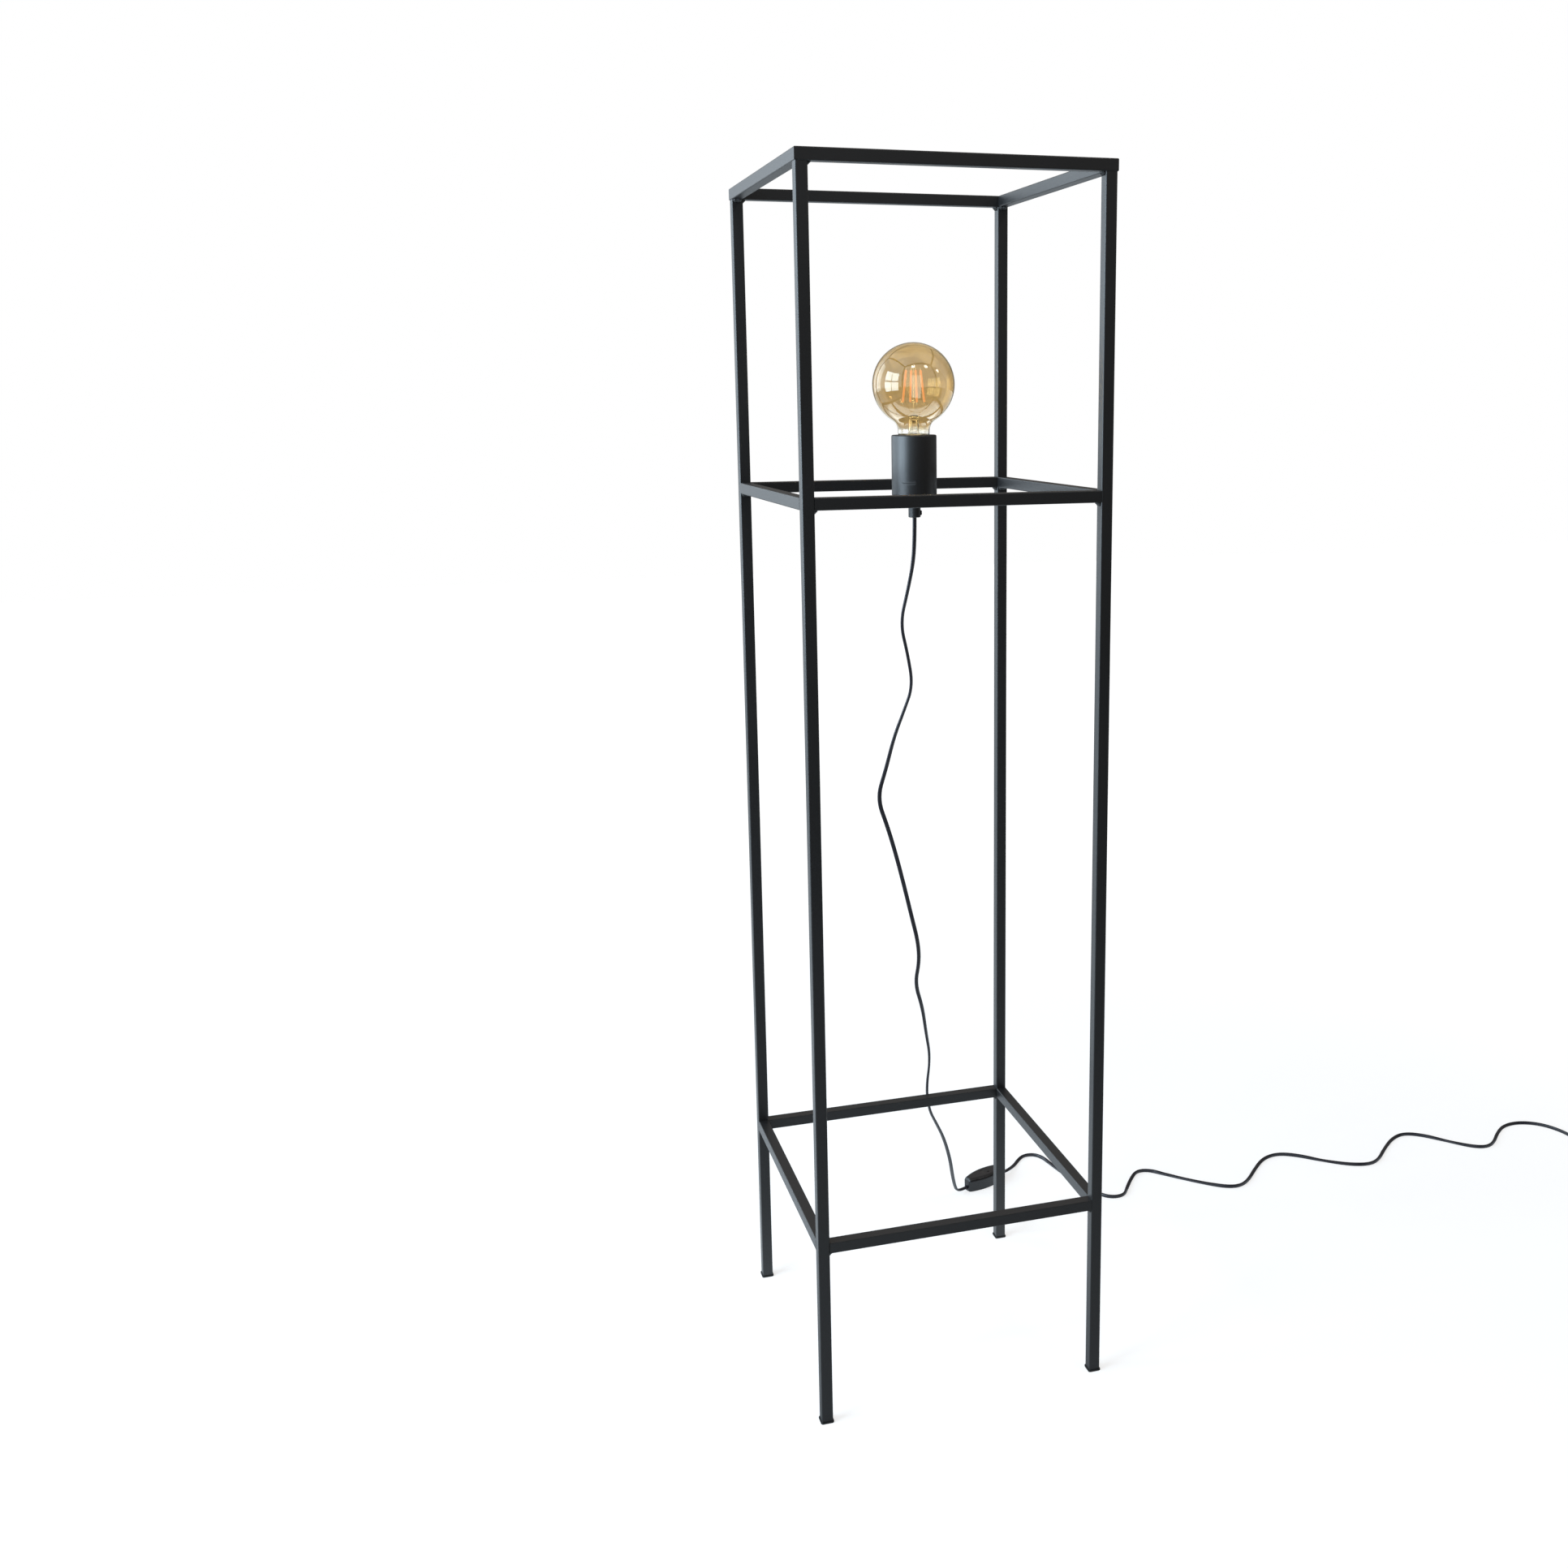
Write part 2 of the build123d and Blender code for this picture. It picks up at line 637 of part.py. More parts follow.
def filament_ends(index):
    """Lower and upper end of one filament stick, a quarter turn apart."""
    angle = math.radians(90 * index)
    low = Vector(FILAMENT_LOW_RADIUS * math.cos(angle),
                 FILAMENT_LOW_RADIUS * math.sin(angle), FILAMENT_BOTTOM)
    high = Vector(FILAMENT_HIGH_RADIUS * math.cos(angle),
                  FILAMENT_HIGH_RADIUS * math.sin(angle), FILAMENT_TOP)
    return low, high


def rod(start, end, diameter):
    """Straight round rod between two points."""
    axis = end - start
    section = Plane(origin=start, z_dir=axis) * Circle(diameter / 2)
    return extrude(section, axis.length)


def make_filaments():
    """Four straight filament sticks that lean in towards the top."""
    sticks = []
    for index in range(4):
        low, high = filament_ends(index)
        sticks.append(rod(low, high, FILAMENT_THICKNESS))
    return group(sticks)


def make_lead_wires():
    """Two leads from the stem to the side sticks, and the ring-and-post support above."""
    wire = 0.5
    top = Vector(0, 0, STEM_TOP + 0.2)
    crown = Vector(0, 0, FILAMENT_TOP + 3.0)
    solids = []
    for index in range(4):
        low, high = filament_ends(index)
        reach = (low - high).normalized()
        start = top + Vector(low.X, low.Y, 0).normalized() * 1.2
        solids.append(rod(start, low + reach * 0.6, wire))
        solids.append(rod(crown, high - reach * 0.4, wire))
    solids.append(rod(top, crown, wire))
    return group(solids)


# ------------------------------------------------------------------ the inline switch
def in_switch(shape):
    """Put a shape drawn about the switch's centre in its place on the floor."""
    return Pos(SWITCH_PLACE[0], SWITCH_PLACE[1], 0) * Rot(0, 0, SWITCH_TURN) * shape


def switch_block():
    """Outer form of the whole switch: an oval pebble with a flat underside."""
    half_length = SWITCH_LENGTH / 2
    half_width = SWITCH_WIDTH / 2
    nose = SWITCH_WIDTH * 0.23
    plan = make_face([
        ThreePointArc((-half_length, -nose), (0, -half_width), (half_length, -nose)),
        Line((half_length, -nose), (half_length, nose)),
        ThreePointArc((half_length, nose), (0, half_width), (-half_length, nose)),
        Line((-half_length, nose), (-half_length, -nose)),
    ])
    block = extrude(plan, SWITCH_HEIGHT)
    block = fillet(block.edges().filter_by(Axis.Z), 4.0)
    block = fillet(block.edges().group_by(Axis.Z)[-1], 5.5)
    return fillet(block.edges().group_by(Axis.Z)[0], 1.6)


def switch_cavity():
    """Hollow of the closed switch."""
    length = SWITCH_LENGTH - 2 * SWITCH_WALL - 6.0
    width = SWITCH_WIDTH - 2 * SWITCH_WALL - 4.0
    height = SWITCH_HEIGHT - 2 * SWITCH_WALL
    cavity = extrude(SlotOverall(length, width), height)
    return Pos(0, 0, SWITCH_WALL) * cavity


def switch_slice(bottom, top):
    """Level slab that cuts the switch at its seam."""
    return Pos(0, 0, (bottom + top) / 2) * Box(2 * SWITCH_LENGTH, 2 * SWITCH_WIDTH, top - bottom)


def cord_holes():
    """Round ways for the cord through both ends, on the seam."""
    hole = Rot(0, 90, 0) * Cylinder(CORD / 2 + 0.15, 2 * SWITCH_LENGTH)
    return Pos(0, 0, SWITCH_SEAM) * hole


def rocker_drum(radius, width):
    """Cylinder about the rocker's axis, across the switch."""
    return Pos(0, 0, ROCKER_AXIS_HEIGHT) * Rot(90, 0, 0) * Cylinder(radius, width)


def switch_screw_places():
    """Middles of the two screws, on opposite sides of the switch's long line."""
    return [Pos(side * SWITCH_SCREW_REACH, side * SWITCH_SCREW_SIDE, 0) for side in (-1, 1)]


def make_switch_base():
    """Lower shell with its bosses for the two screws."""
    base = switch_block() & switch_slice(0, SWITCH_SEAM)
    base -= switch_cavity()
    base -= cord_holes()
    boss = Pos(0, 0, SWITCH_WALL) * extrude(Circle(2.6), SWITCH_SEAM - SWITCH_WALL)
    head_room = extrude(Circle(2.4), 1.4)
    for place in switch_screw_places():
        base += place * boss
        base -= place * Cylinder(1.5, 4 * SWITCH_SEAM)
        base -= place * head_room
    return in_switch(base)


def make_switch_cover():
    """Upper shell with the rocker's window and the two lugs that hold its axle."""
    cover = switch_block() & switch_slice(SWITCH_SEAM, SWITCH_HEIGHT)
    cover -= switch_cavity()
    cover -= cord_holes()
    cover -= rocker_drum(ROCKER_RADIUS + ROCKER_GAP, ROCKER_WIDTH + 2 * ROCKER_GAP)
    lug_side = 6.2
    post = extrude(Circle(2.6), SWITCH_HEIGHT - SWITCH_WALL - SWITCH_SEAM)
    for side in (-1, 1):
        cover += Pos(0, side * lug_side, ROCKER_AXIS_HEIGHT + 0.6) * Box(5.0, 1.8, 7.0)
        hole = Rot(90, 0, 0) * Cylinder(1.35, 4.0)
        cover -= Pos(0, side * lug_side, ROCKER_AXIS_HEIGHT) * hole
    for place in switch_screw_places():
        cover += place * Pos(0, 0, SWITCH_SEAM) * post & switch_block()
        cover -= place * Pos(0, 0, SWITCH_SEAM) * Cylinder(0.9, 12.0)
    return in_switch(cover)


def make_rocker():
    """Rocker key: a drum segment with a shallow V on top and a stub axle at each side."""
    drum = rocker_drum(ROCKER_RADIUS, ROCKER_WIDTH)
    peak = ROCKER_AXIS_HEIGHT + 5.0
    tip = ROCKER_AXIS_HEIGHT + 6.1
    reach = ROCKER_RADIUS + 2.0
    outline = make_face(Polyline(
        (-reach, ROCKER_AXIS_HEIGHT - 2.5), (reach, ROCKER_AXIS_HEIGHT - 2.5),
        (reach, tip), (0, peak), (-reach, tip), close=True))
    key = drum & extrude(Plane.XZ * outline, ROCKER_WIDTH, both=True)
    axle = Pos(0, 0, ROCKER_AXIS_HEIGHT) * Rot(90, 0, 0) * Cylinder(1.1, ROCKER_WIDTH + 4.0)
    key += axle
    tilt = Pos(0, 0, ROCKER_AXIS_HEIGHT) * Rot(0, -ROCKER_TILT, 0) * Pos(0, 0, -ROCKER_AXIS_HEIGHT)
    return in_switch(tilt * key)


def make_switch_screws():
    """Two self-tapping screws driven from below."""
    head = extrude(Circle(2.2), 1.2)
    slot = Box(0.6, 5.0, 1.0)
    shank = Pos(0, 0, 1.2) * extrude(Circle(0.85), 8.0)
    screw = Pos(0, 0, 0.2) * (head - slot + shank)
    return group([in_switch(place * screw) for place in switch_screw_places()])


def make_switch_contacts():
    """Fixed brass contact posts under the rocker, with the sprung bridge between them."""
    across = -3.2
    width = 3.6
    posts = []
    for side in (-1, 1):
        foot = Pos(side * 9.0, across, 2.4) * Box(7.0, width, 1.0)
        blade = Pos(side * 6.0, across, 5.4) * Box(1.0, width, 5.0)
        posts.append(in_switch(foot + blade))
    bridge = Pos(0, across, 8.2) * Box(14.0, width, 0.6)
    return group(posts + [in_switch(bridge)])


def make_switch_cores():
    """The two cores inside the switch: one runs through, the other ends at the contacts."""
    reach = SWITCH_LENGTH / 2 - 2.0
    apart = 1.2
    core = Circle(CORE_RADIUS)
    through = Pos(-reach, apart, SWITCH_SEAM) * Rot(0, 90, 0) * extrude(core, 2 * reach)
    solids = [in_switch(through)]
    for side in (-1, 1):
        stub = Rot(0, -side * 90, 0) * extrude(core, 12.0)
        solids.append(in_switch(Pos(side * reach, -apart, SWITCH_SEAM) * stub))
    return group(solids)


# ------------------------------------------------------------------ the cord
def bend_radii(route):
    """Radius at each inner point: 0.45 of the shorter run over the tangent of half the turn."""
    points = [Vector(*point) for point in route]
    radii = []
    for before, here, after in zip(points, points[1:], points[2:]):
        arriving = here - before
        leaving = after - here
        half_turn = math.radians(arriving.get_angle(leaving)) / 2
        shorter = min(arriving.length, leaving.length)
        radii.append(0.45 * shorter / math.tan(half_turn))
    return radii


def cord_tube(name, route):
    """Round tube along straight runs joined by tangent arcs."""
    radii = bend_radii(route)
    path = FilletPolyline(*route, radius=radii)
    section = Plane(origin=path @ 0, z_dir=path % 0) * Circle(CORD / 2)
    tube = sweep(section, path=path)
    swept = math.pi * CORD ** 2 / 4 * path.length
    print(name, "length", round(path.length, 1), "volume over section times length",
          round(tube.volume / swept, 4))
    print(name, "radii", [round(radius, 1) for radius in radii])
    return tube


def coil_edges():
    """Half turns of the coil, two layers: in on the floor, one climbing, out on top of them.

    Each half turn is a semicircle whose end is the next one's start, so a step in radius
    moves its centre. The climbing one lies in a tilted plane, level at both its ends.
    """
    steps = [0, -1, -2, -1, 0, 1]
    climbing = 2
    x = COIL_CENTRE[0] - COIL_START_RADIUS
    y = COIL_CENTRE[1]
    z = CORD_LYING
    edges = [Line((x, y + CORD, z), (x, y, z))]
    for index, step in enumerate(steps):
        radius = COIL_START_RADIUS + step * COIL_STEP
        side = 1 if index % 2 == 0 else -1
        rise = COIL_LAYER if index == climbing else 0.0
        start = Vector(x, y, z)
        end = Vector(x + side * 2 * radius, y, z + rise)
        bulge = math.hypot(radius, rise / 2)
        middle = (start + end) / 2 - Vector(0, side * bulge, 0)
        edges.append(ThreePointArc(start, middle, end))
        x, y, z = end.X, end.Y, end.Z
    edges.append(Line((x, y, z), (x, y - CORD, z)))
    return edges


def least_gap(path, samples=1500):
    """Least distance between the surfaces of turns that lie beside or on each other."""
    points = [path @ (index / samples) for index in range(samples + 1)]
    spacing = path.length / samples
    apart = int(2.5 * CORD / spacing) + 1
    least = min(
        (first - second).length
        for index, first in enumerate(points)
        for second in points[index + apart::3]
    )
    return least - CORD


def make_coil():
    """Put-away length: one unbroken tube of three turns in two layers."""
    path = Wire(coil_edges())
    section = Plane(origin=path @ 0, z_dir=path % 0) * Circle(CORD / 2)
    coil = sweep(section, path=path)
    swept = math.pi * CORD ** 2 / 4 * path.length
    print("cord_coil length", round(path.length, 1), "volume over section times length",
          round(coil.volume / swept, 4), "least gap to itself", round(least_gap(path), 2))
    return coil


# ------------------------------------------------------------------ the plug
def in_plug(shape):
    """Put a shape drawn along +X, cord end at the origin, where the tail ends."""
    end = Vector(*TAIL_ROUTE[-1])
    before = Vector(*TAIL_ROUTE[-2])
    heading = math.degrees(math.atan2(end.Y - before.Y, end.X - before.X))
    return Pos(end.X, end.Y, PLUG_THICKNESS / 2) * Rot(0, 0, heading) * shape


def make_plug_relief():
    """Tapered, ribbed strain relief moulded on the plug."""
    small = CORD / 2 + 0.9
    large = 5.0
    edges = [
        Line((0, 0), (small, 0)),
        Line((0, 0), (0, PLUG_RELIEF)),
        Line((0, PLUG_RELIEF), (large, PLUG_RELIEF)),
    ]
    ribs = 5
    groove = 0.7
    pitch = PLUG_RELIEF / (ribs + 1)
    x = small
    z = 0.0
    for rib in range(ribs):
        crest = small + (large - small) * (rib + 1) / (ribs + 1)
        edges.append(Line((x, z), (crest, z + pitch * 0.7)))
        edges.append(Line((crest, z + pitch * 0.7), (crest - groove, z + pitch * 0.72)))
        edges.append(Line((crest - groove, z + pitch * 0.72), (crest - groove, z + pitch)))
        x = crest - groove
        z += pitch
    edges.append(Line((x, z), (large, PLUG_RELIEF)))
    return in_plug(Rot(0, 90, 0) * turned(*edges))


def make_plug_body():
    """Flat moulded plug body, narrower at the cord than at the pins."""
    back = 14.0
    half = PLUG_WIDTH / 2
    plan = make_face(Polyline(
        (0, -back / 2), (11.0, -half), (PLUG_DEPTH, -half + 1.2),
        (PLUG_DEPTH, half - 1.2), (11.0, half), (0, back / 2), close=True))
    body = extrude(plan, PLUG_THICKNESS / 2, both=True)
    body = fillet(body.edges().filter_by(Axis.Z), 2.5)
    body = fillet(body.edges().group_by(Axis.Z)[0] + body.edges().group_by(Axis.Z)[-1], 2.0)
    return in_plug(Pos(PLUG_RELIEF, 0, 0) * body)


def both_pins(shape):
    """Two copies of a shape drawn up from the pin's root, one for each pin."""
    root = PLUG_RELIEF + PLUG_DEPTH
    return group([
        in_plug(Pos(root, side * PIN_SPACING / 2, 0) * Rot(0, 90, 0) * shape) for side in (-1, 1)])


def make_plug_pins():
    """Two round brass pins, necked down under their sleeves and rounded at the tip."""
    neck = extrude(Circle(PIN_NECK / 2), PIN_SLEEVE)
    bare = Pos(0, 0, PIN_SLEEVE) * extrude(Circle(PIN_DIAMETER / 2), PIN_LENGTH - PIN_SLEEVE)
    bare = fillet(bare.edges().group_by(Axis.Z)[-1], 1.2)
    return both_pins(neck + bare)


def make_pin_sleeves():
    """Insulating sleeves round the root half of the pins."""
    return both_pins(ring(PIN_DIAMETER - 0.1, PIN_NECK, 0, PIN_SLEEVE))


# ------------------------------------------------------------------ build and write
nodes = {}
nodes.update(make_posts())
nodes.update(make_rings())
nodes.update(make_welds())
nodes.update(make_feet())
nodes["holder_strip"] = make_strip()
nodes["lampholder_cup"] = make_cup()
nodes["threaded_nipple"] = make_nipple()
nodes["lock_nuts"] = make_nuts()
nodes["cord_grip"] = make_grip()
nodes["cord_grip_screw"] = make_grip_screw()
nodes["socket_cap"] = make_socket_cap()
nodes["socket_sleeve"] = make_socket_sleeve()
nodes["socket_insert"] = make_socket_insert()
nodes["socket_thread_shell"] = make_thread_shell()
nodes["socket_contacts"] = make_socket_contacts()
nodes["terminal_screws"] = make_terminal_screws()
nodes["socket_cores"] = make_socket_cores()
nodes["bulb_glass"] = make_bulb_glass()
nodes["bulb_cap"] = make_bulb_cap()
nodes["bulb_insulator"] = make_bulb_insulator()
nodes["bulb_tip_contact"] = make_bulb_tip()
nodes["bulb_stem"] = make_bulb_stem()
nodes["bulb_lead_wires"] = make_lead_wires()
nodes["bulb_filaments"] = make_filaments()
nodes["switch_base"] = make_switch_base()
nodes["switch_cover"] = make_switch_cover()
nodes["switch_rocker"] = make_rocker()
nodes["switch_screws"] = make_switch_screws()
nodes["switch_contacts"] = make_switch_contacts()
nodes["switch_cores"] = make_switch_cores()
nodes["cord_upper"] = cord_tube("cord_upper", UPPER_ROUTE)
nodes["cord_lower"] = cord_tube("cord_lower", LOWER_ROUTE)
nodes["cord_coil"] = make_coil()
nodes["cord_tail"] = cord_tube("cord_tail", TAIL_ROUTE)
nodes["plug_relief"] = make_plug_relief()
nodes["plug_body"] = make_plug_body()
nodes["plug_pins"] = make_plug_pins()
nodes["plug_pin_sleeves"] = make_pin_sleeves()

for name, shape in nodes.items():
    export_step(shape, "parts/" + name + ".step")
print(len(nodes), "nodes written")
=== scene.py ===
import math

import bpy
import numpy as np
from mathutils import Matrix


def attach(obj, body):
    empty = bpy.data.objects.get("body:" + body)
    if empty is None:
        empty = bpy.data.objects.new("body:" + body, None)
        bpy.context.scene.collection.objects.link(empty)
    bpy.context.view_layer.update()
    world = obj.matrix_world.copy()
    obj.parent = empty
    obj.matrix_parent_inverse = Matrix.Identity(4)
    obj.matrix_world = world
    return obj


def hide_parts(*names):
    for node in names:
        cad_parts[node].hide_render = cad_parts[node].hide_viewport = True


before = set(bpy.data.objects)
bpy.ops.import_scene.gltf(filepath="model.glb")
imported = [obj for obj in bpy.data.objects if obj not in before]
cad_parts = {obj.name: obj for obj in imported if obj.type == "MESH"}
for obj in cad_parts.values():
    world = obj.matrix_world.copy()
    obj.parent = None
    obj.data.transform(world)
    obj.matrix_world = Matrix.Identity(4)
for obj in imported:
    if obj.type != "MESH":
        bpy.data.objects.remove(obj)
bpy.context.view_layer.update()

# ---------------------------------------------------------------------------- the camera
# It stands in front of the lamp and a little to the left of it, at the height of the bulb,
# and looks slightly down. The shift holds the photograph's off-centre crop.
frame_pixels = 1932
focal_pixels = 1989.02
centre_pixels = (1137.14, 885.17)
camera_place = (-0.5544, -1.82138, 1.17421)
camera_turns = (78.733, 0.4255, -17.2548)

camera_data = bpy.data.cameras.new("camera")
camera_data.sensor_width = 36.0
camera_data.lens = camera_data.sensor_width * focal_pixels / frame_pixels
camera_data.shift_x = (frame_pixels / 2 - centre_pixels[0]) / frame_pixels
camera_data.shift_y = (centre_pixels[1] - frame_pixels / 2) / frame_pixels
camera_data.clip_end = 60.0
camera = bpy.data.objects.new("camera", camera_data)
camera.location = camera_place
camera.rotation_euler = [math.radians(turn) for turn in camera_turns]
bpy.context.scene.collection.objects.link(camera)
bpy.context.scene.camera = camera
bpy.context.scene.view_settings.view_transform = "Standard"


# ---------------------------------------------------------------------------- floor and light
# A white floor that keeps a faint shadow, and a white room. A wide soft window of four panes
# stands to the left and a weaker one behind it, three small lamps hang in front of the lamp
# and to its right, and the right side is dim.
class Value:
    """One output of a finish's nodes. Arithmetic on it adds Math nodes to the same finish."""

    def __init__(self, finish, socket):
        self.finish = finish
        self.socket = socket

    def math(self, operation, *values):
        return self.finish.node(
            "ShaderNodeMath", {"operation": operation}, dict(enumerate(values)))

    def __add__(self, other):
        return self.math("ADD", self, other)

    def __sub__(self, other):
        return self.math("SUBTRACT", self, other)

    def __rsub__(self, other):
        return self.math("SUBTRACT", other, self)

    def __mul__(self, other):
        return self.math("MULTIPLY", self, other)

    __radd__ = __add__
    __rmul__ = __mul__

    def above(self, low, high):
        """0 below low, 1 above high and a smooth step between them."""
        return self.finish.node(
            "ShaderNodeMapRange",
            {"interpolation_type": "SMOOTHSTEP"},
            {"Value": self, "From Min": low, "From Max": high})


class Finish:
    """Nodes of one material or of the world, added by one method that serves every kind."""

    def __init__(self, owner):
        owner.use_nodes = True
        self.owner = owner
        self.tree = owner.node_tree
        self.tree.nodes.clear()

    def node(self, kind, settings=None, sockets=None, output=0):
        """Adds a node, makes its settings, feeds its sockets and returns one of its outputs."""
        made = self.tree.nodes.new(kind)
        for name, value in (settings or {}).items():
            setattr(made, name, value)
        for name, value in (sockets or {}).items():
            if isinstance(value, Value):
                self.tree.links.new(value.socket, made.inputs[name])
            else:
                made.inputs[name].default_value = value
        return Value(self, made.outputs[output]) if made.outputs else None

    def blend(self, factor, first, second):
        """Colour that goes from first to second with the factor."""
        colours = [c if isinstance(c, Value) else (*c, 1.0) for c in (first, second)]
        return self.node("ShaderNodeMix", {"data_type": "RGBA"},
                         {0: factor, 6: colours[0], 7: colours[1]}, output=2)

    def parts(self, vector):
        """The three numbers of a vector."""
        split = self.node("ShaderNodeSeparateXYZ", sockets={0: vector}).socket.node
        return [Value(self, socket) for socket in split.outputs]


def ray_kinds(finish):
    """How a ray came here: from the camera, through glass, mirrored, or sharply mirrored.

    Only the bulb's glass is smooth enough for the last kind, so what it meets shows there alone.
    """
    straight, through_glass, mirrored, sharp = (
        finish.node("ShaderNodeLightPath", output="Is " + kind + " Ray")
        for kind in ("Camera", "Transmission", "Glossy", "Singular"))
    after_mirror = finish.node("ShaderNodeLightPath", output="Glossy Depth").above(0.2, 0.8)
    return straight, through_glass, mirrored, sharp * after_mirror


floor_half = 9.0
floor_mesh = bpy.data.meshes.new("floor")
floor_mesh.from_pydata(
    [(-floor_half, -floor_half, 0), (floor_half, -floor_half, 0),
     (floor_half, floor_half, 0), (-floor_half, floor_half, 0)],
    [], [(0, 1, 2, 3)])
floor = bpy.data.objects.new("floor", floor_mesh)
bpy.context.scene.collection.objects.link(floor)

# Places on the floor go by the camera's level directions, whose cosine and sine these are. The
# sheet lies round the lamp, and the doorway is a strip of far floor in front of it. Both are
# bright in the bulb's mirror images only.
view_cosine, view_sine = 0.955, 0.2965
pale = Finish(bpy.data.materials.new("pale_floor"))
straight, through_glass, mirrored, in_glass = ray_kinds(pale)
spot = pale.node("ShaderNodeTexCoord", output="Object")
spot_x, spot_y, _ = pale.parts(spot)
spread = pale.node("ShaderNodeVectorMath", {"operation": "LENGTH"}, {0: spot}, output="Value")
far_off = spread.above(0.7, 2.6)
in_front = 0.0 - (spot_x * view_sine + spot_y * view_cosine)
to_right = spot_x * view_cosine - spot_y * view_sine
behind_lamp = 1 - in_front.above(-0.25, 0.25)
white_sheet = (1 - in_front.above(0.40, 0.52)) * (1 - spread.above(1.25, 1.70))
doorway = (in_front.above(1.30, 1.45) * (to_right + in_front * 0.11).above(-0.03, 0.03)
           * (1 - (to_right - in_front * 0.41).above(-0.03, 0.03)))
to_camera = 0.68 + 0.40 * far_off
to_coat = 0.04 + 0.80 * behind_lamp
to_glass = 3.2 * white_sheet + 3.6 * doorway
lit = pale.node("ShaderNodeBsdfDiffuse", sockets={
    "Color": pale.blend(far_off, (0.42, 0.42, 0.42), (0.10, 0.10, 0.10))})
glow = pale.node("ShaderNodeEmission", sockets={
    "Color": pale.blend(mirrored, (1.0, 1.0, 1.0), (0.82, 0.92, 1.0)),
    "Strength": straight * to_camera + through_glass * 0.60 + mirrored * to_coat
    + in_glass * to_glass})
pale.node("ShaderNodeOutputMaterial", sockets={
    "Surface": pale.node("ShaderNodeAddShader", sockets={0: lit, 1: glow})})
floor_mesh.materials.append(pale.owner)

# The room is white to the camera and through the glass. Mirrored, its left side and ceiling are
# paler, and dark lines run where its walls and ceiling meet. A wall's slope times the heading
# gives the height at which it ends.
world = bpy.data.worlds.new("white_room")
bpy.context.scene.world = world
room = Finish(world)
straight, through_glass, mirrored, in_glass = ray_kinds(room)
heading_x, heading_y, heading_z = room.parts(room.node("ShaderNodeTexCoord", output="Generated"))
behind = heading_y.above(-0.2, 0.4)
from_left = (0.0 - heading_x).above(0.10, 0.48)
overhead = heading_z.above(0.12, 0.55)
left_wall = heading_x * -1.35
front_wall = heading_y * -1.52
over_eaves = heading_z - left_wall.math("MAXIMUM", left_wall, front_wall)
ceiling = over_eaves.above(-0.02, 0.02)
ceiling_line = 1 - over_eaves.math("ABSOLUTE", over_eaves).above(0.010, 0.024)
corner_gap = left_wall - front_wall
corner_line = (1 - corner_gap.math("ABSOLUTE", corner_gap).above(0.014, 0.032)) * (1 - ceiling)
dark_lines = ceiling_line.math("MAXIMUM", ceiling_line, corner_line) * (1 - behind)
to_right = heading_x * view_cosine - heading_y * view_sine
doorway = (to_right.above(-0.12, -0.10) * (1 - to_right.above(0.37, 0.39))
           * (1 - heading_z.above(0.40, 0.42)))
room_in_front = 0.16 + 0.20 * ceiling + 0.50 * from_left + in_glass * (1.5 + 2.6 * doorway)
room_behind = 0.11 + 2.6 * from_left * (1 - 0.6 * overhead) + 0.34 * overhead
mirror_level = (behind * room_behind + (1 - behind) * room_in_front) * (1 - 0.85 * dark_lines)
lighting_level = 0.38
tint = room.blend(from_left, (1.0, 0.93, 0.87), (0.78, 0.90, 1.0))
seen = straight + through_glass
level = seen + mirrored * mirror_level + (1 - seen - mirrored) * lighting_level
colour = room.blend(seen, tint, (1.0, 1.0, 1.0))
room.node("ShaderNodeOutputWorld", sockets={
    "Surface": room.node("ShaderNodeBackground", sockets={"Color": colour, "Strength": level})})


def soft_window(name, heading_degrees, height, distance, size, radiance, colour):
    """A rectangular light that faces the bulb, on a heading about the lamp's axis.

    The heading is counted from straight behind the camera, positive to the camera's right. The
    glass mirrors it from both walls, but a straight look through the glass doesn't meet it.
    """
    bulb_height = 1.19
    camera_heading = -90.0 - 17.25
    facing = math.radians(camera_heading + heading_degrees)
    place = np.array([distance * math.cos(facing), distance * math.sin(facing), height])
    light = bpy.data.lights.new(name, "AREA")
    light.shape = "RECTANGLE"
    light.size, light.size_y = size
    light.energy = radiance * math.pi * size[0] * size[1]
    light.color = colour
    lamp = Finish(light)
    through_glass, mirrored = (
        lamp.node("ShaderNodeLightPath", output=kind + " Depth").above(0.2, 0.8)
        for kind in ("Transmission", "Glossy"))
    lamp.node("ShaderNodeOutputLight", sockets={
        "Surface": lamp.node("ShaderNodeEmission", sockets={
            "Strength": 1 - through_glass * (1 - mirrored)})})
    holder = bpy.data.objects.new(name, light)
    holder.location = place
    away = place - np.array([0.0, 0.0, bulb_height])
    tilt = math.atan2(math.hypot(away[0], away[1]), away[2])
    holder.rotation_euler = (tilt, 0.0, math.atan2(away[1], away[0]) + math.pi / 2)
    bpy.context.scene.collection.objects.link(holder)


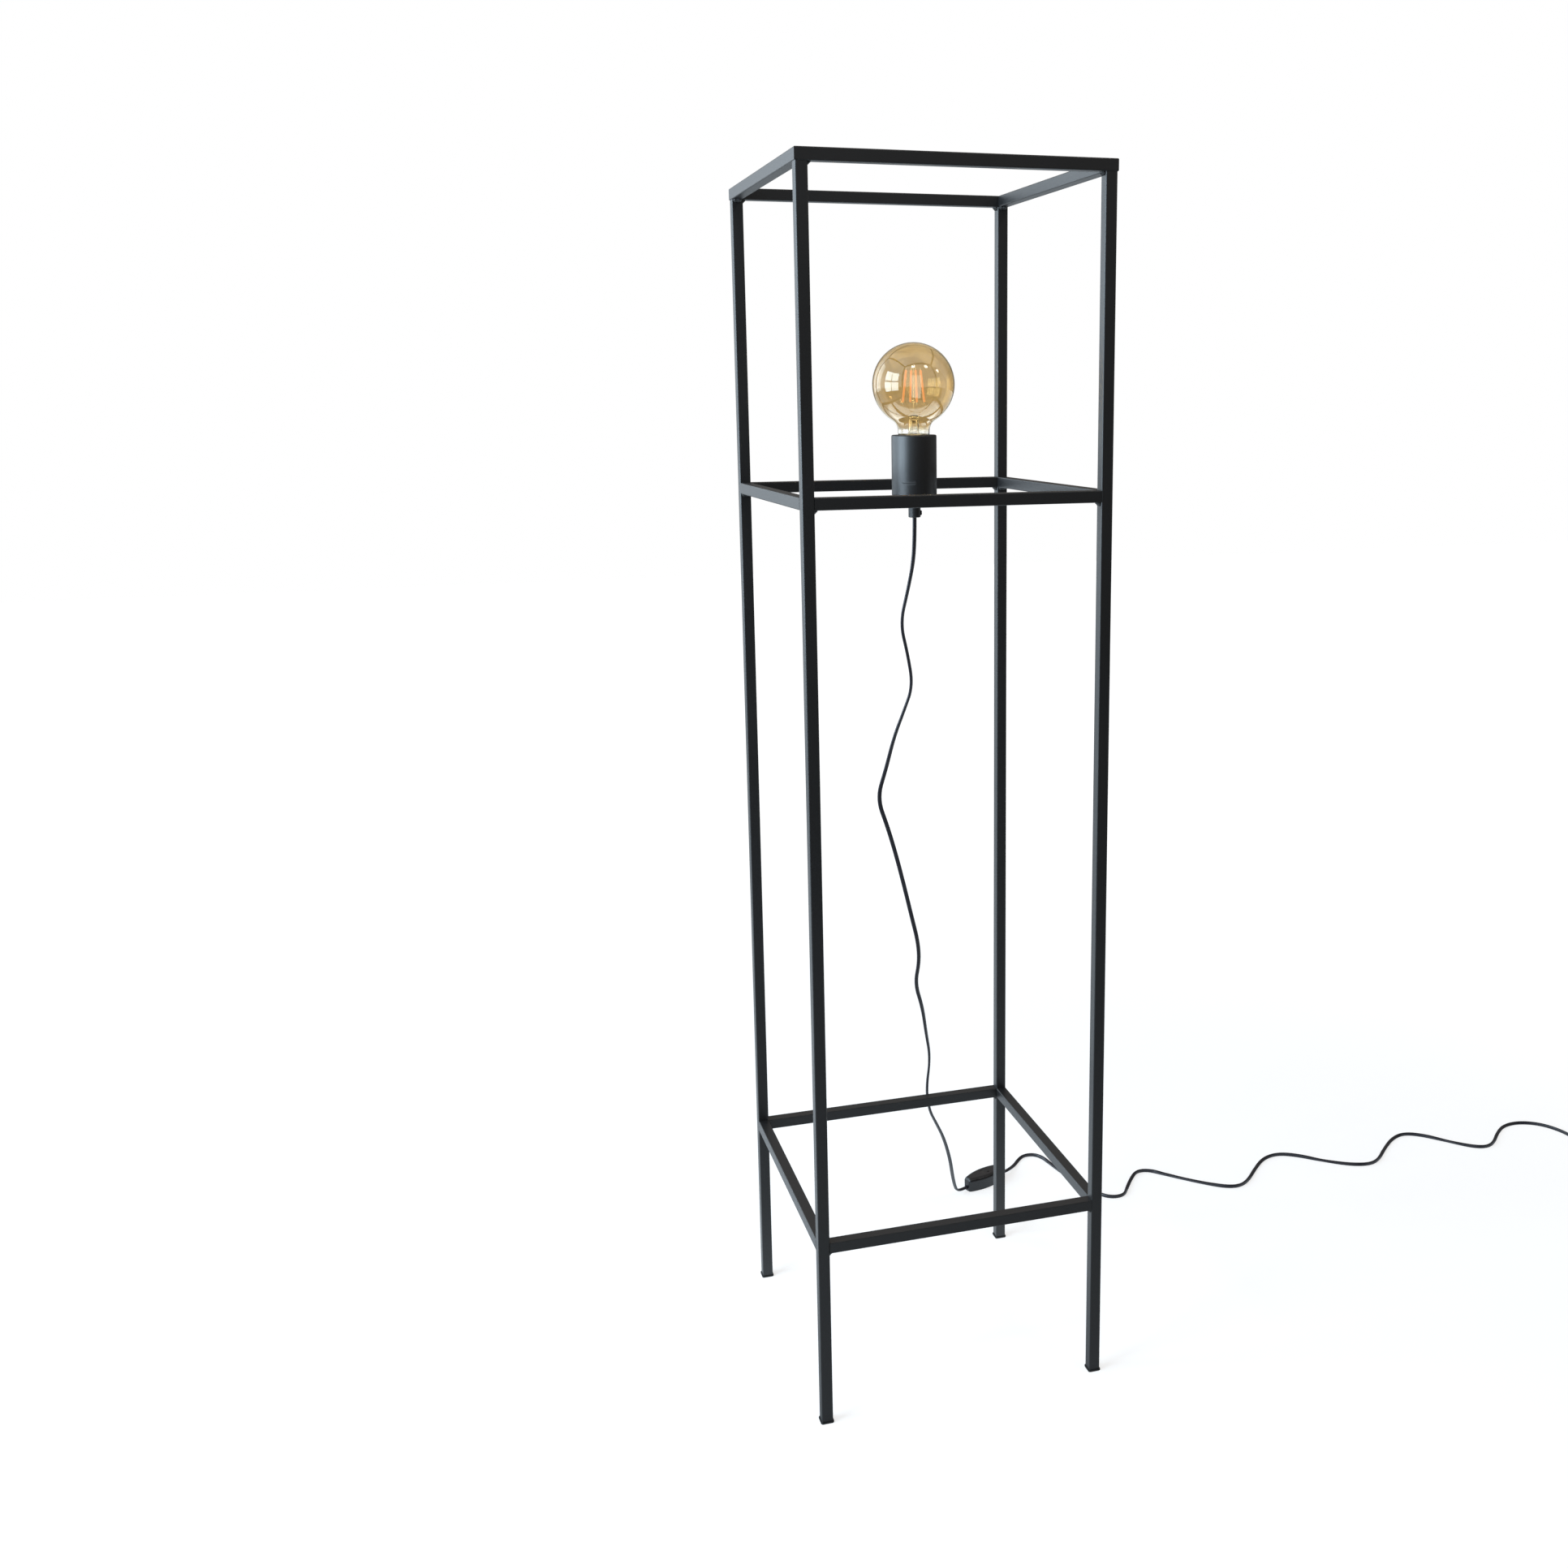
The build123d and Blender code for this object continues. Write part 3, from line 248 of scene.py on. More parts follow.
blue_day, pale_day, warm_white = (0.70, 0.86, 1.0), (0.74, 0.88, 1.0), (1.0, 0.98, 0.95)
pane_size, lamp_size = (0.96, 0.92), (0.30, 0.30)
for pane_heading, pane_turn in ((-75.3, "back"), (-52.7, "front")):
    for pane_height, pane_level in ((0.98, "low"), (2.02, "high")):
        soft_window("window_left_" + pane_level + "_" + pane_turn, pane_heading, pane_height,
                    2.6, pane_size, 11.5, blue_day)
soft_window("window_behind_left", -117.0, 1.70, 2.6, (1.2, 2.0), 2.6, pale_day)
soft_window("lamp_front", 0.0, 2.84, 1.45, lamp_size, 17.0, warm_white)
soft_window("lamp_front_right", 47.6, 2.80, 1.60, lamp_size, 17.0, warm_white)
soft_window("lamp_right", 81.0, 2.48, 2.40, lamp_size, 15.0, warm_white)


# ---------------------------------------------------------------------------- the cord
# Flat twin cord, two cores side by side in one black sheath, 5.4 by 3.3 mm. It hangs from the
# grip, runs through the switch, lies in waves on the floor and ends wound up with its plug.
cord_width = 0.0054
cord_thickness = 0.0033
on_floor = cord_thickness / 2
on_edge = cord_width / 2

# Where the hanging cord goes, and the heading of its wide side in degrees from +X.
hanging_route = [
    (0.0000, 0.0000, 1.0416, 28),
    (0.0000, 0.0000, 1.0180, 28),
    (-0.0005, 0.0040, 0.9840, 32),
    (-0.0060, 0.0100, 0.9490, 44),
    (-0.0140, 0.0165, 0.9090, 54),
    (-0.0030, 0.0235, 0.8700, 56),
    (0.0055, 0.0310, 0.8290, 54),
    (-0.0045, 0.0375, 0.7970, 48),
    (-0.0155, 0.0440, 0.7640, 36),
    (-0.0235, 0.0530, 0.7230, 20),
    (-0.0330, 0.0620, 0.6840, 2),
    (-0.0170, 0.0715, 0.6430, -10),
    (-0.0025, 0.0820, 0.5990, -16),
    (0.0115, 0.0940, 0.5520, -16),
    (0.0240, 0.1050, 0.5080, -6),
    (0.0345, 0.1140, 0.4720, 12),
    (0.0385, 0.1220, 0.4410, 16),
    (0.0350, 0.1310, 0.4080, 20),
    (0.0485, 0.1420, 0.3690, 34),
    (0.0570, 0.1540, 0.3270, 50),
    (0.0670, 0.1670, 0.2840, 66),
    (0.0655, 0.1830, 0.2320, 84),
    (0.0720, 0.1900, 0.1960, 96),
    (0.0850, 0.2030, 0.1710, 110),
    (0.1035, 0.2220, 0.1350, 124),
    (0.1195, 0.2430, 0.0900, 136),
    (0.1310, 0.2680, 0.0520, 134),
    (0.1415, 0.2890, 0.0220, 124),
    (0.1496, 0.3002, 0.0060, 114),
    (0.1690, 0.3083, 0.0060, 112.6),
    (0.1995, 0.3210, 0.0060, 112.6),
]

# Where it lies, and how far its section stands up: 0 lies flat, 1 stands on its edge.
floor_route = [
    (0.2300, 0.3337, 0.0060, 0.0),
    (0.2438, 0.3394, 0.0060, 0.0),
    (0.2610, 0.3570, 0.0024, 0.1),
    (0.2740, 0.3730, 0.0022, 0.5),
    (0.2870, 0.3840, 0.0027, 1.0),
    (0.3030, 0.3830, 0.0027, 1.0),
    (0.3130, 0.3700, 0.0024, 0.7),
    (0.3180, 0.3470, 0.0018, 0.1),
    (0.3240, 0.3150, 0.00165, 0.0),
    (0.3330, 0.2840, 0.00165, 0.0),
    (0.3430, 0.2520, 0.0018, 0.1),
    (0.3540, 0.2260, 0.0025, 0.8),
    (0.3690, 0.2160, 0.0027, 1.0),
    (0.3860, 0.2190, 0.0027, 1.0),
    (0.3970, 0.2360, 0.0022, 0.5),
    (0.4180, 0.2650, 0.0021, 0.4),
    (0.4340, 0.2810, 0.0027, 1.0),
    (0.4520, 0.2790, 0.0027, 1.0),
    (0.4700, 0.2620, 0.0019, 0.2),
    (0.4940, 0.2370, 0.00165, 0.0),
    (0.5200, 0.2120, 0.0019, 0.2),
    (0.5430, 0.1930, 0.0025, 0.8),
    (0.5640, 0.1900, 0.0027, 1.0),
    (0.5850, 0.2040, 0.0024, 0.7),
    (0.6120, 0.2340, 0.0018, 0.1),
    (0.6400, 0.2590, 0.0024, 0.7),
    (0.6680, 0.2660, 0.0027, 1.0),
    (0.6940, 0.2530, 0.0024, 0.7),
    (0.7250, 0.2250, 0.0017, 0.0),
    (0.7570, 0.2000, 0.0021, 0.4),
    (0.7850, 0.1900, 0.0027, 1.0),
    (0.8080, 0.1990, 0.0025, 0.8),
    (0.8380, 0.2300, 0.0017, 0.0),
    (0.8700, 0.2570, 0.0021, 0.4),
    (0.8970, 0.2660, 0.0027, 1.0),
    (0.9220, 0.2520, 0.0024, 0.7),
    (0.9500, 0.2210, 0.0017, 0.0),
    (0.9740, 0.1930, 0.0022, 0.5),
    (0.9940, 0.1840, 0.0027, 1.0),
    (1.0140, 0.1930, 0.0024, 0.7),
    (1.0420, 0.2220, 0.0017, 0.0),
    (1.0680, 0.2410, 0.0020, 0.3),
    (1.0980, 0.2430, 0.0024, 0.7),
    (1.1260, 0.2280, 0.0027, 1.0),
    (1.1420, 0.2010, 0.0027, 1.0),
    (1.1470, 0.1720, 0.0027, 1.0),
    (1.1470, 0.1484, 0.0027, 1.0),
]

# From the coil's upper layer down to the plug, where the section turns flat again.
tail_route = [
    (1.1410, 0.1220, 0.0082, 1.0),
    (1.1425, 0.1040, 0.0052, 0.8),
    (1.1460, 0.0860, 0.0046, 0.4),
    (1.1520, 0.0690, 0.0068, 0.0),
    (1.1580, 0.0540, 0.00685, 0.0),
]


def coil_points(start, radii, climbing, layer, points_each=8):
    """Control points of the coil's half turns, standing on edge.

    Half a turn goes round a centre that lies one radius to the side of its start. Its points
    are the corners of the polygon whose sides touch the circle, so the spline follows the
    circle. The climbing half turn gains one layer's height evenly.
    """
    x, y, z = start
    points = []
    for index, radius in enumerate(radii):
        side = 1 if index % 2 == 0 else -1
        rise = layer if index == climbing else 0.0
        angle = (np.arange(points_each) + 0.5) * math.pi / points_each
        reach = radius / math.cos(math.pi / (2 * points_each))
        points += zip(x + side * (radius - reach * np.cos(angle)),
                      y - side * reach * np.sin(angle),
                      z + rise * (1 - np.cos(angle)) / 2,
                      np.ones(points_each))
        x += side * 2 * radius
        z += rise
    return points


coil_route = coil_points((1.1470, 0.1430, on_edge), (0.033, 0.030, 0.027, 0.030, 0.033, 0.036),
                         climbing=2, layer=cord_width + 0.0002)
lying_route = floor_route + coil_route + tail_route
route = np.array([row[:3] for row in hanging_route + lying_route])

cord_line = bpy.data.curves.new("cord_line", "CURVE")
cord_line.dimensions = "3D"
cord_line.resolution_u = 8
spline = cord_line.splines.new("NURBS")
spline.points.add(len(route) - 1)
spline.points.foreach_set("co", np.c_[route, np.ones(len(route))].ravel())
spline.order_u = 3
spline.use_endpoint_u = True
line_object = bpy.data.objects.new("cord_line", cord_line)
bpy.context.scene.collection.objects.link(line_object)
bpy.context.view_layer.update()
line_mesh = bpy.data.meshes.new_from_object(line_object)
centres = np.empty(len(line_mesh.vertices) * 3)
line_mesh.vertices.foreach_get("co", centres)
centres = centres.reshape(-1, 3)
bpy.data.objects.remove(line_object)
bpy.data.meshes.remove(line_mesh)


def wide_sides(points, hanging, lying):
    """Direction of the section's wide side at every route point.

    While it hangs this is a level heading. On the floor it is the level direction across the
    cord, tipped up by the share of a quarter turn that the route gives. Neighbours that point
    opposite ways are turned round, since either way round is the same section.
    """
    headings = np.radians([row[3] for row in hanging])
    level = np.c_[np.cos(headings), np.sin(headings), np.zeros(len(headings))]
    along = np.gradient(points, axis=0)[len(hanging):]
    across = np.c_[-along[:, 1], along[:, 0], np.zeros(len(along))]
    across /= np.linalg.norm(across, axis=1)[:, None]
    tip = np.array([row[3] for row in lying]) * math.pi / 2
    lying_sides = across * np.cos(tip)[:, None] + np.array([0.0, 0.0, 1.0]) * np.sin(tip)[:, None]
    sides = np.r_[level, lying_sides]
    agree = np.sign(np.sum(sides[1:] * sides[:-1], axis=1))
    agree[agree == 0] = 1.0
    return sides * np.r_[1.0, np.cumprod(agree)][:, None]


def grid_faces(rows, columns, rows_close=False, columns_close=True):
    """Quads between neighbouring rows and columns of a grid of points, numbered row by row."""
    row = np.arange(rows if rows_close else rows - 1)[:, None]
    column = np.arange(columns if columns_close else columns - 1)[None, :]
    next_row = (row + 1) % rows
    next_column = (column + 1) % columns
    corners = [row * columns + column, row * columns + next_column,
               next_row * columns + next_column, next_row * columns + column]
    return np.stack([corner.ravel() for corner in np.broadcast_arrays(*corners)], axis=1)


def new_piece(name, points, faces, finish, body, slot):
    """A smooth mesh piece from its points and faces, riding on a body."""
    mesh = bpy.data.meshes.new(name)
    mesh.from_pydata(points.tolist(), [], [list(face) for face in faces])
    mesh.polygons.foreach_set("use_smooth", np.ones(len(mesh.polygons), bool))
    mesh.materials.append(finish.owner)
    piece = bpy.data.objects.new(name, mesh)
    bpy.context.scene.collection.objects.link(piece)
    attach(piece, body)
    return piece


def flat_section(count=20):
    """Stadium outline: two half circles of the cord's thickness, a straight run apart.

    Gives the reach along the wide side and the thin side, going round once.
    """
    angle = (np.arange(count) + 0.5) * 2 * math.pi / count
    straight_half = (cord_width - cord_thickness) / 2
    wide = np.cos(angle) * cord_thickness / 2 + np.sign(np.cos(angle)) * straight_half
    thin = np.sin(angle) * cord_thickness / 2
    return wide, thin


def cord_surface(centres, sides):
    """Rings of the flat section about the centreline, one ring to a centre.

    The wide side is made square to the run of the cord, and the thin side is square to both.
    A ring's point is its centre plus its two reaches along these sides. A ring is lifted by
    the little that it takes to keep its lowest point on the floor.
    """
    along = np.gradient(centres, axis=0)
    along /= np.linalg.norm(along, axis=1)[:, None]
    sides = sides - np.sum(sides * along, axis=1)[:, None] * along
    sides /= np.linalg.norm(sides, axis=1)[:, None]
    thin_sides = np.cross(along, sides)
    wide, thin = flat_section()
    half_height = on_floor + (on_edge - on_floor) * np.abs(sides[:, 2])
    centres = np.c_[centres[:, :2], np.maximum(centres[:, 2], half_height)]
    rings = (centres[:, None] + wide[None, :, None] * sides[:, None]
             + thin[None, :, None] * thin_sides[:, None])
    return rings.reshape(-1, 3), len(wide)


def noise(finish, place, scale, detail):
    """Smooth noise between 0 and 1, with the scale in waves to the metre."""
    return finish.node("ShaderNodeTexNoise", sockets={
        "Vector": place, "Scale": scale, "Detail": detail})


def bump(finish, height, distance, strength=1.0):
    """Normals of a skin that stands up by the distance where the height is 1."""
    return finish.node("ShaderNodeBump", sockets={
        "Height": height, "Distance": distance, "Strength": strength})


def skin(finish, sockets, volume=None):
    """Ends a material in one shader, and in a volume that absorbs light where it has one."""
    ends = {"Surface": finish.node("ShaderNodeBsdfPrincipled", sockets=sockets)}
    if volume:
        ends["Volume"] = finish.node("ShaderNodeVolumeAbsorption", sockets=volume)
    finish.node("ShaderNodeOutputMaterial", sockets=ends)
    return finish


def moulded(name, base, speck, gloss, grain_size, grain_depth):
    """Black or pale moulded plastic: a faint cloudiness, fine grain and a soft uneven gloss."""
    finish = Finish(bpy.data.materials.new(name))
    place = finish.node("ShaderNodeTexCoord", output="Object")
    cloud = noise(finish, place, 60.0, 3.0)
    grain = noise(finish, place, 1.0 / grain_size, 2.0)
    return skin(finish, {
        "Base Color": finish.blend(cloud * 0.6 + grain * 0.4, base, speck),
        "Roughness": gloss + 0.12 * (cloud - 0.5) + 0.10 * (grain - 0.5),
        "Normal": bump(finish, grain, grain_depth), "IOR": 1.46})


def cord_sheath():
    """Black sheath drawn through a die: faint lines along it, small scuffs and a cool sheen."""
    finish = Finish(bpy.data.materials.new("black_cord_sheath"))
    run = finish.node("ShaderNodeUVMap", {"uv_map": "along_and_around"})
    drawn = finish.node("ShaderNodeMapping", sockets={"Vector": run, "Scale": (30.0, 26.0, 1.0)})
    lines = noise(finish, drawn, 1.0, 3.0)
    scuff = noise(finish, finish.node("ShaderNodeTexCoord", output="Object"), 240.0, 4.0)
    worn = scuff.above(0.60, 0.74)
    colour = finish.blend(lines, (0.0055, 0.0053, 0.0100), (0.0095, 0.0090, 0.0150))
    return skin(finish, {
        "Base Color": finish.blend(worn * 0.5, colour, (0.028, 0.029, 0.034)),
        "Roughness": 0.40 + 0.12 * (lines - 0.5) + 0.10 * worn,
        "Normal": bump(finish, lines * 0.7 + scuff * 0.3, 0.00012), "IOR": 1.48})


# The spline's even steps run over spans that begin and end halfway between route points.
steps = np.linspace(0.0, len(route) - 2.0, len(centres))
midway = np.clip(np.arange(len(route)) - 0.5, 0.0, len(route) - 2.0)
sides_there = wide_sides(route, hanging_route, lying_route)
sides = np.stack([np.interp(steps, midway, sides_there[:, k]) for k in range(3)], axis=1)
cord_points, cord_around = cord_surface(centres, sides)
first_end = np.arange(cord_around)
last_end = first_end + (len(centres) - 1) * cord_around
cord_faces = grid_faces(len(centres), cord_around).tolist() + [
    first_end[::-1].tolist(), last_end.tolist()]
cord = new_piece("cord", cord_points, cord_faces, cord_sheath(), "lamp", "cord_sheath")

# The sheath's map runs in metres along the cord and from 0 to 1 around it. The faces that
# close a ring end at 1 instead of going back to 0.
run_length = np.r_[0.0, np.cumsum(np.linalg.norm(np.diff(centres, axis=0), axis=1))]
corner_points = np.empty(len(cord.data.loops), int)
cord.data.loops.foreach_get("vertex_index", corner_points)
ring_of, column_of = np.divmod(corner_points, cord_around)
closing = np.zeros(len(corner_points), bool)
quad_corners = (len(centres) - 1) * cord_around * 4
quad_columns = column_of[:quad_corners].reshape(-1, 4)
closing[:quad_corners] = ((quad_columns == 0) & (quad_columns.max(1) > 1)[:, None]).ravel()
around = (column_of + cord_around * closing) / cord_around
unwrapped = cord.data.uv_layers.new(name="along_and_around")
unwrapped.data.foreach_set("uv", np.c_[run_length[ring_of], around].ravel())

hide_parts("cord_upper", "cord_lower", "cord_coil", "cord_tail")


# ---------------------------------------------------------------------------- the cage
# Square steel tube, 13.4 mm with its coat, welded and then coated in satin black powder. The
# coat has a fine orange peel and a little dust on it.
def powder_coat(name, rubbed_at=None):
    """Satin black coat: peel a millimetre across, fine grit, faint clouds and stray dust.

    A rubbed place is a short curved scratch: its height, its middle and half its length along
    the view's level direction, in metres. It is dull, with a paler haze round it. Its line is
    a parabola, 9 metres up for every square metre along, and it wanders with the clouds.
    """
    finish = Finish(bpy.data.materials.new(name))
    place = finish.node("ShaderNodeTexCoord", output="Object")
    peel = noise(finish, place, 620.0, 2.0)
    grit = noise(finish, place, 2600.0, 1.0)
    cloud = noise(finish, place, 7.0, 3.0)
    speckle = noise(finish, place, 330.0, 5.0)
    dust = speckle.above(0.70, 0.78)
    colour = finish.blend(cloud * 0.7 + grit * 0.3,
                          (0.0046, 0.0048, 0.0054), (0.0084, 0.0085, 0.0090))
    colour = finish.blend(dust * 0.4, colour, (0.040, 0.039, 0.037))
    rough = 0.43 + 0.12 * (cloud - 0.5) + 0.06 * (grit - 0.5) + 0.15 * dust
    if rubbed_at:
        scratch_height, middle, half_length = rubbed_at
        x, y, z = finish.parts(place)
        along = x * view_cosine - y * view_sine - middle
        front = (0.0 - (x * view_sine + y * view_cosine)).above(0.0, 0.002)
        off_line = z - scratch_height - 9.0 * (along * along) + 0.0012 * (cloud - 0.5)
        apart = off_line.math("ABSOLUTE", off_line)
        from_middle = along.math("ABSOLUTE", along)
        inside = front * (1 - from_middle.above(half_length * 0.8, half_length))
        scratch = inside * (1 - apart.above(0.00028, 0.00060))
        haze = inside * (1 - apart.above(0.0004, 0.0034)) * (1 - scratch) * (0.35 + 0.65 * speckle)
        colour = finish.blend(haze * 0.55, colour, (0.075, 0.076, 0.080))
        colour = finish.blend(scratch, colour, (0.004, 0.004, 0.004))
        rough = rough + 0.38 * scratch + 0.10 * haze
    return skin(finish, {
        "Base Color": colour, "Roughness": rough,
        "Normal": bump(finish, peel * 0.8 + grit * 0.2, 0.00001), "IOR": 1.58})


def dress(finish, *nodes):
    """Gives CAD nodes a finish in place of the plain colour that they were packed with."""
    for node in nodes:
        for material_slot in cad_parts[node].material_slots:
            material_slot.material = finish.owner


cage_coat = powder_coat("satin_black_coat")
sides_of_lamp = ("front", "right", "back", "left")
corners_of_lamp = ("front_left", "front_right", "back_left", "back_right")
dress(cage_coat, "holder_strip", *["post_" + corner for corner in corners_of_lamp],
      *[ring + "_rail_" + side for ring in ("top", "middle", "low") for side in sides_of_lamp])


# ---------------------------------------------------------------------------- the welds
# Short fillet welds in the corners between rails and posts, laid in overlapping drops and
# coated with the cage. Each is a quarter round with a ripple to every drop.
cage_half = 0.175
tube = 0.0134
inner_corner = cage_half - tube
rail_bottoms = {"top": 1.42 - tube, "middle": 1.072 - tube, "low": 0.228 - tube}


def weld_bead(leg=0.0036, length=0.0102, drop=0.0016, sunk=0.0004, rings=41, outline=13):
    """One bead along Y, filling the corner at the origin to +X and -Z, as points and faces.

    A ring is a corner point sunk in the steel and an arc from the rail to the post, whose reach
    is the leg times one plus a cosine ripple of the drop's length and a slow swell. The leg
    runs out at both ends.
    """
    run = np.linspace(-0.5, 0.5, rings)
    ripple = 1 + 0.09 * np.cos(2 * math.pi * run * length / drop) + 0.05 * np.sin(run * 11.0)
    reach = leg * ripple * np.sqrt(np.clip(1 - (2 * run) ** 6, 0.02, 1))
    angle = np.linspace(0, math.pi / 2, outline)
    bulge = 0.80 + 0.20 * np.abs(np.cos(2 * angle))
    x = np.c_[np.full(rings, -sunk), reach[:, None] * (np.cos(angle) * bulge)]
    z = np.c_[np.full(rings, sunk), reach[:, None] * (-np.sin(angle) * bulge)]
    y = np.broadcast_to(run[:, None] * length, x.shape)
    points = np.stack([x, y, z], axis=2).reshape(-1, 3)
    first_end = np.arange(outline + 1)
    faces = grid_faces(rings, outline + 1).tolist()
    return points, faces + [first_end[::-1].tolist(),
                            (first_end + (rings - 1) * (outline + 1)).tolist()]


def turned_about_axis(points, degrees):
    """Points turned about the lamp's upright axis."""
    turn = math.radians(degrees)
    matrix = np.array([[math.cos(turn), math.sin(turn), 0],
                       [-math.sin(turn), math.cos(turn), 0], [0, 0, 1]])
    return points @ matrix


def joined(parts):
    """Several sets of points and faces as one."""
    start = 0
    points, faces = [], []
    for part_points, part_faces in parts:
        points.append(part_points)
        faces += [[index + start for index in face] for face in part_faces]
        start += len(part_points)
    return np.concatenate(points), faces


bead_points, bead_faces = weld_bead()
for ring_name, rail_bottom in rail_bottoms.items():
    beads = []
    for quarter in range(4):
        for corner_x, half_turn in ((-inner_corner, 0), (inner_corner, 180)):
            placed = turned_about_axis(bead_points, half_turn) + np.array([
                corner_x, tube / 2 - cage_half, rail_bottom])
            beads.append((turned_about_axis(placed, 90 * quarter), bead_faces))
    welds = new_piece("weld_beads_" + ring_name, *joined(beads), cage_coat, "lamp",
                      "frame_paint")
    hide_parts("welds_" + ring_name)


# ---------------------------------------------------------------------------- the feet
# Soft black plastic plugs pushed into the posts, matt, with a rounded flange on the floor.
foot_plastic = moulded("matt_black_foot", (0.0085, 0.0085, 0.0085), (0.016, 0.0155, 0.015),
                       0.55, 0.0009, 0.00004)
dress(foot_plastic, *["foot_plug_" + corner for corner in corners_of_lamp])


# ---------------------------------------------------------------------------- the cup
# Cup drawn from steel sheet, its rim rolled in, in the same satin black as the cage. One
# short curved scratch low on its front shows where it was rubbed.
def arc(centre, radius, start, end, count=10):
    """Points of a circular arc in radius and height, between two angles in degrees."""
    angle = np.radians(np.linspace(start, end, count))
    return np.c_[centre[0] + radius * np.cos(angle), centre[1] + radius * np.sin(angle)]


def turned_piece(name, profile, finish, slot, body="lamp", segments=160, loop=True):
    """Surface of revolution of a profile in radius and height, which runs anticlockwise.

    A point is (radius cos angle, radius sin angle, height). A profile that is a loop closes
    on itself. One that isn't begins and ends on the axis, and gets one point for each pole.
    """
    profile = np.asarray(profile, float)
    angle = np.arange(segments) * 2 * math.pi / segments
    rings = profile if loop else profile[1:-1]
    heights = np.broadcast_to(rings[:, 1:], (len(rings), segments))
    points = np.stack([rings[:, :1] * np.cos(angle), rings[:, :1] * np.sin(angle), heights],
                      axis=2).reshape(-1, 3)
    faces = grid_faces(len(rings), segments, rows_close=loop).tolist()
    if not loop:
        first, last = len(points), len(points) + 1
        points = np.r_[points, [[0, 0, profile[0, 1]], [0, 0, profile[-1, 1]]]]
        final = (len(rings) - 1) * segments
        faces += [[first, (k + 1) % segments, k] for k in range(segments)]
        faces += [[last, final + k, final + (k + 1) % segments] for k in range(segments)]
    return new_piece(name, points, faces, finish, body, slot)


cup_bottom, cup_top = 1.0611, 1.1311
cup_radius, cup_wall, cup_mouth, cup_hole = 0.0263, 0.001, 0.0215, 0.00525
cup_flat, foot_bend, rim_bend, lip_bend = 0.015, 0.0016, 0.0020, 0.0003
inner_rim_bend, inner_foot_bend = 0.0008, 0.0006
cup_coat = powder_coat("satin_black_cup", rubbed_at=(1.0762, -0.0058, 0.0085))
inner_radius, inner_top = cup_radius - cup_wall, cup_top - cup_wall
inner_bottom = cup_bottom + cup_wall
cup_profile = np.concatenate([
    [(cup_hole, cup_bottom), (cup_flat, cup_bottom)],
    arc((cup_radius - foot_bend, cup_bottom + foot_bend), foot_bend, -90, 0),
    arc((cup_radius - rim_bend, cup_top - rim_bend), rim_bend, 0, 90),
    arc((cup_mouth + lip_bend, cup_top - lip_bend), lip_bend, 90, 180, 4),
    arc((cup_mouth + lip_bend, inner_top + lip_bend), lip_bend, 180, 270, 4),
    arc((inner_radius - inner_rim_bend, inner_top - inner_rim_bend), inner_rim_bend, 90, 0, 6),
    arc((inner_radius - inner_foot_bend, inner_bottom + inner_foot_bend), inner_foot_bend,
        0, -90, 6),
    [(cup_flat, inner_bottom), (cup_hole, inner_bottom)],
])
cup = turned_piece("cup", cup_profile, cup_coat, "cup_paint")
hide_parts("lampholder_cup")


# ---------------------------------------------------------------------------- nipple and nuts
# Zinc-plated steel: a hollow threaded nipple through cup and strip, with two thin nuts.
def bare_metal(name, dark, light, gloss, scale=900.0):
    """Bare or plated metal: fine uneven grain in colour and gloss, and shallow tool marks."""
    finish = Finish(bpy.data.materials.new(name))
    place = finish.node("ShaderNodeTexCoord", output="Object")
    drawn = finish.node("ShaderNodeMapping", sockets={"Vector": place, "Scale": (1.0, 1.0, 6.0)})
    marks = noise(finish, drawn, scale, 3.0)
    cloud = noise(finish, place, 120.0, 2.0)
    return skin(finish, {
        "Base Color": finish.blend(cloud * 0.5 + marks * 0.5, dark, light),
        "Roughness": gloss + 0.15 * (marks - 0.5) + 0.12 * (cloud - 0.5),
        "Metallic": 1.0, "Normal": bump(finish, marks, 0.00003)})


zinc = bare_metal("zinc_plate", (0.42, 0.43, 0.44), (0.62, 0.62, 0.60), 0.32)
dress(zinc, "threaded_nipple", "lock_nuts", "switch_screws")


# ---------------------------------------------------------------------------- the cord grip
# Turned black nylon grip on the nipple's lower end, with a slotted screw on its right side.
grip_plastic = moulded("black_nylon", (0.0070, 0.0072, 0.0078), (0.0130, 0.0130, 0.0135),
                       0.46, 0.0006, 0.00002)
dress(grip_plastic, "cord_grip", "cord_grip_screw")


# ---------------------------------------------------------------------------- the screw socket
# Black moulded socket inside the cup, with a ceramic block, a brass thread shell and contacts.
socket_plastic = moulded("black_thermoset", (0.0080, 0.0078, 0.0075), (0.015, 0.0145, 0.014),
                         0.36, 0.0005, 0.00002)
dress(socket_plastic, "socket_cap", "socket_sleeve")
ceramic = moulded("white_ceramic", (0.66, 0.64, 0.60), (0.78, 0.77, 0.74), 0.30, 0.0012, 0.00002)
dress(ceramic, "socket_insert")
brass = bare_metal("brass", (0.54, 0.36, 0.13), (0.74, 0.54, 0.24), 0.26)
dress(brass, "socket_thread_shell", "socket_contacts", "terminal_screws", "switch_contacts",
      "plug_pins")
core_sleeve = moulded("core_insulation", (0.045, 0.060, 0.120), (0.070, 0.088, 0.160),
                      0.42, 0.0008, 0.00002)
dress(core_sleeve, "socket_cores", "switch_cores")


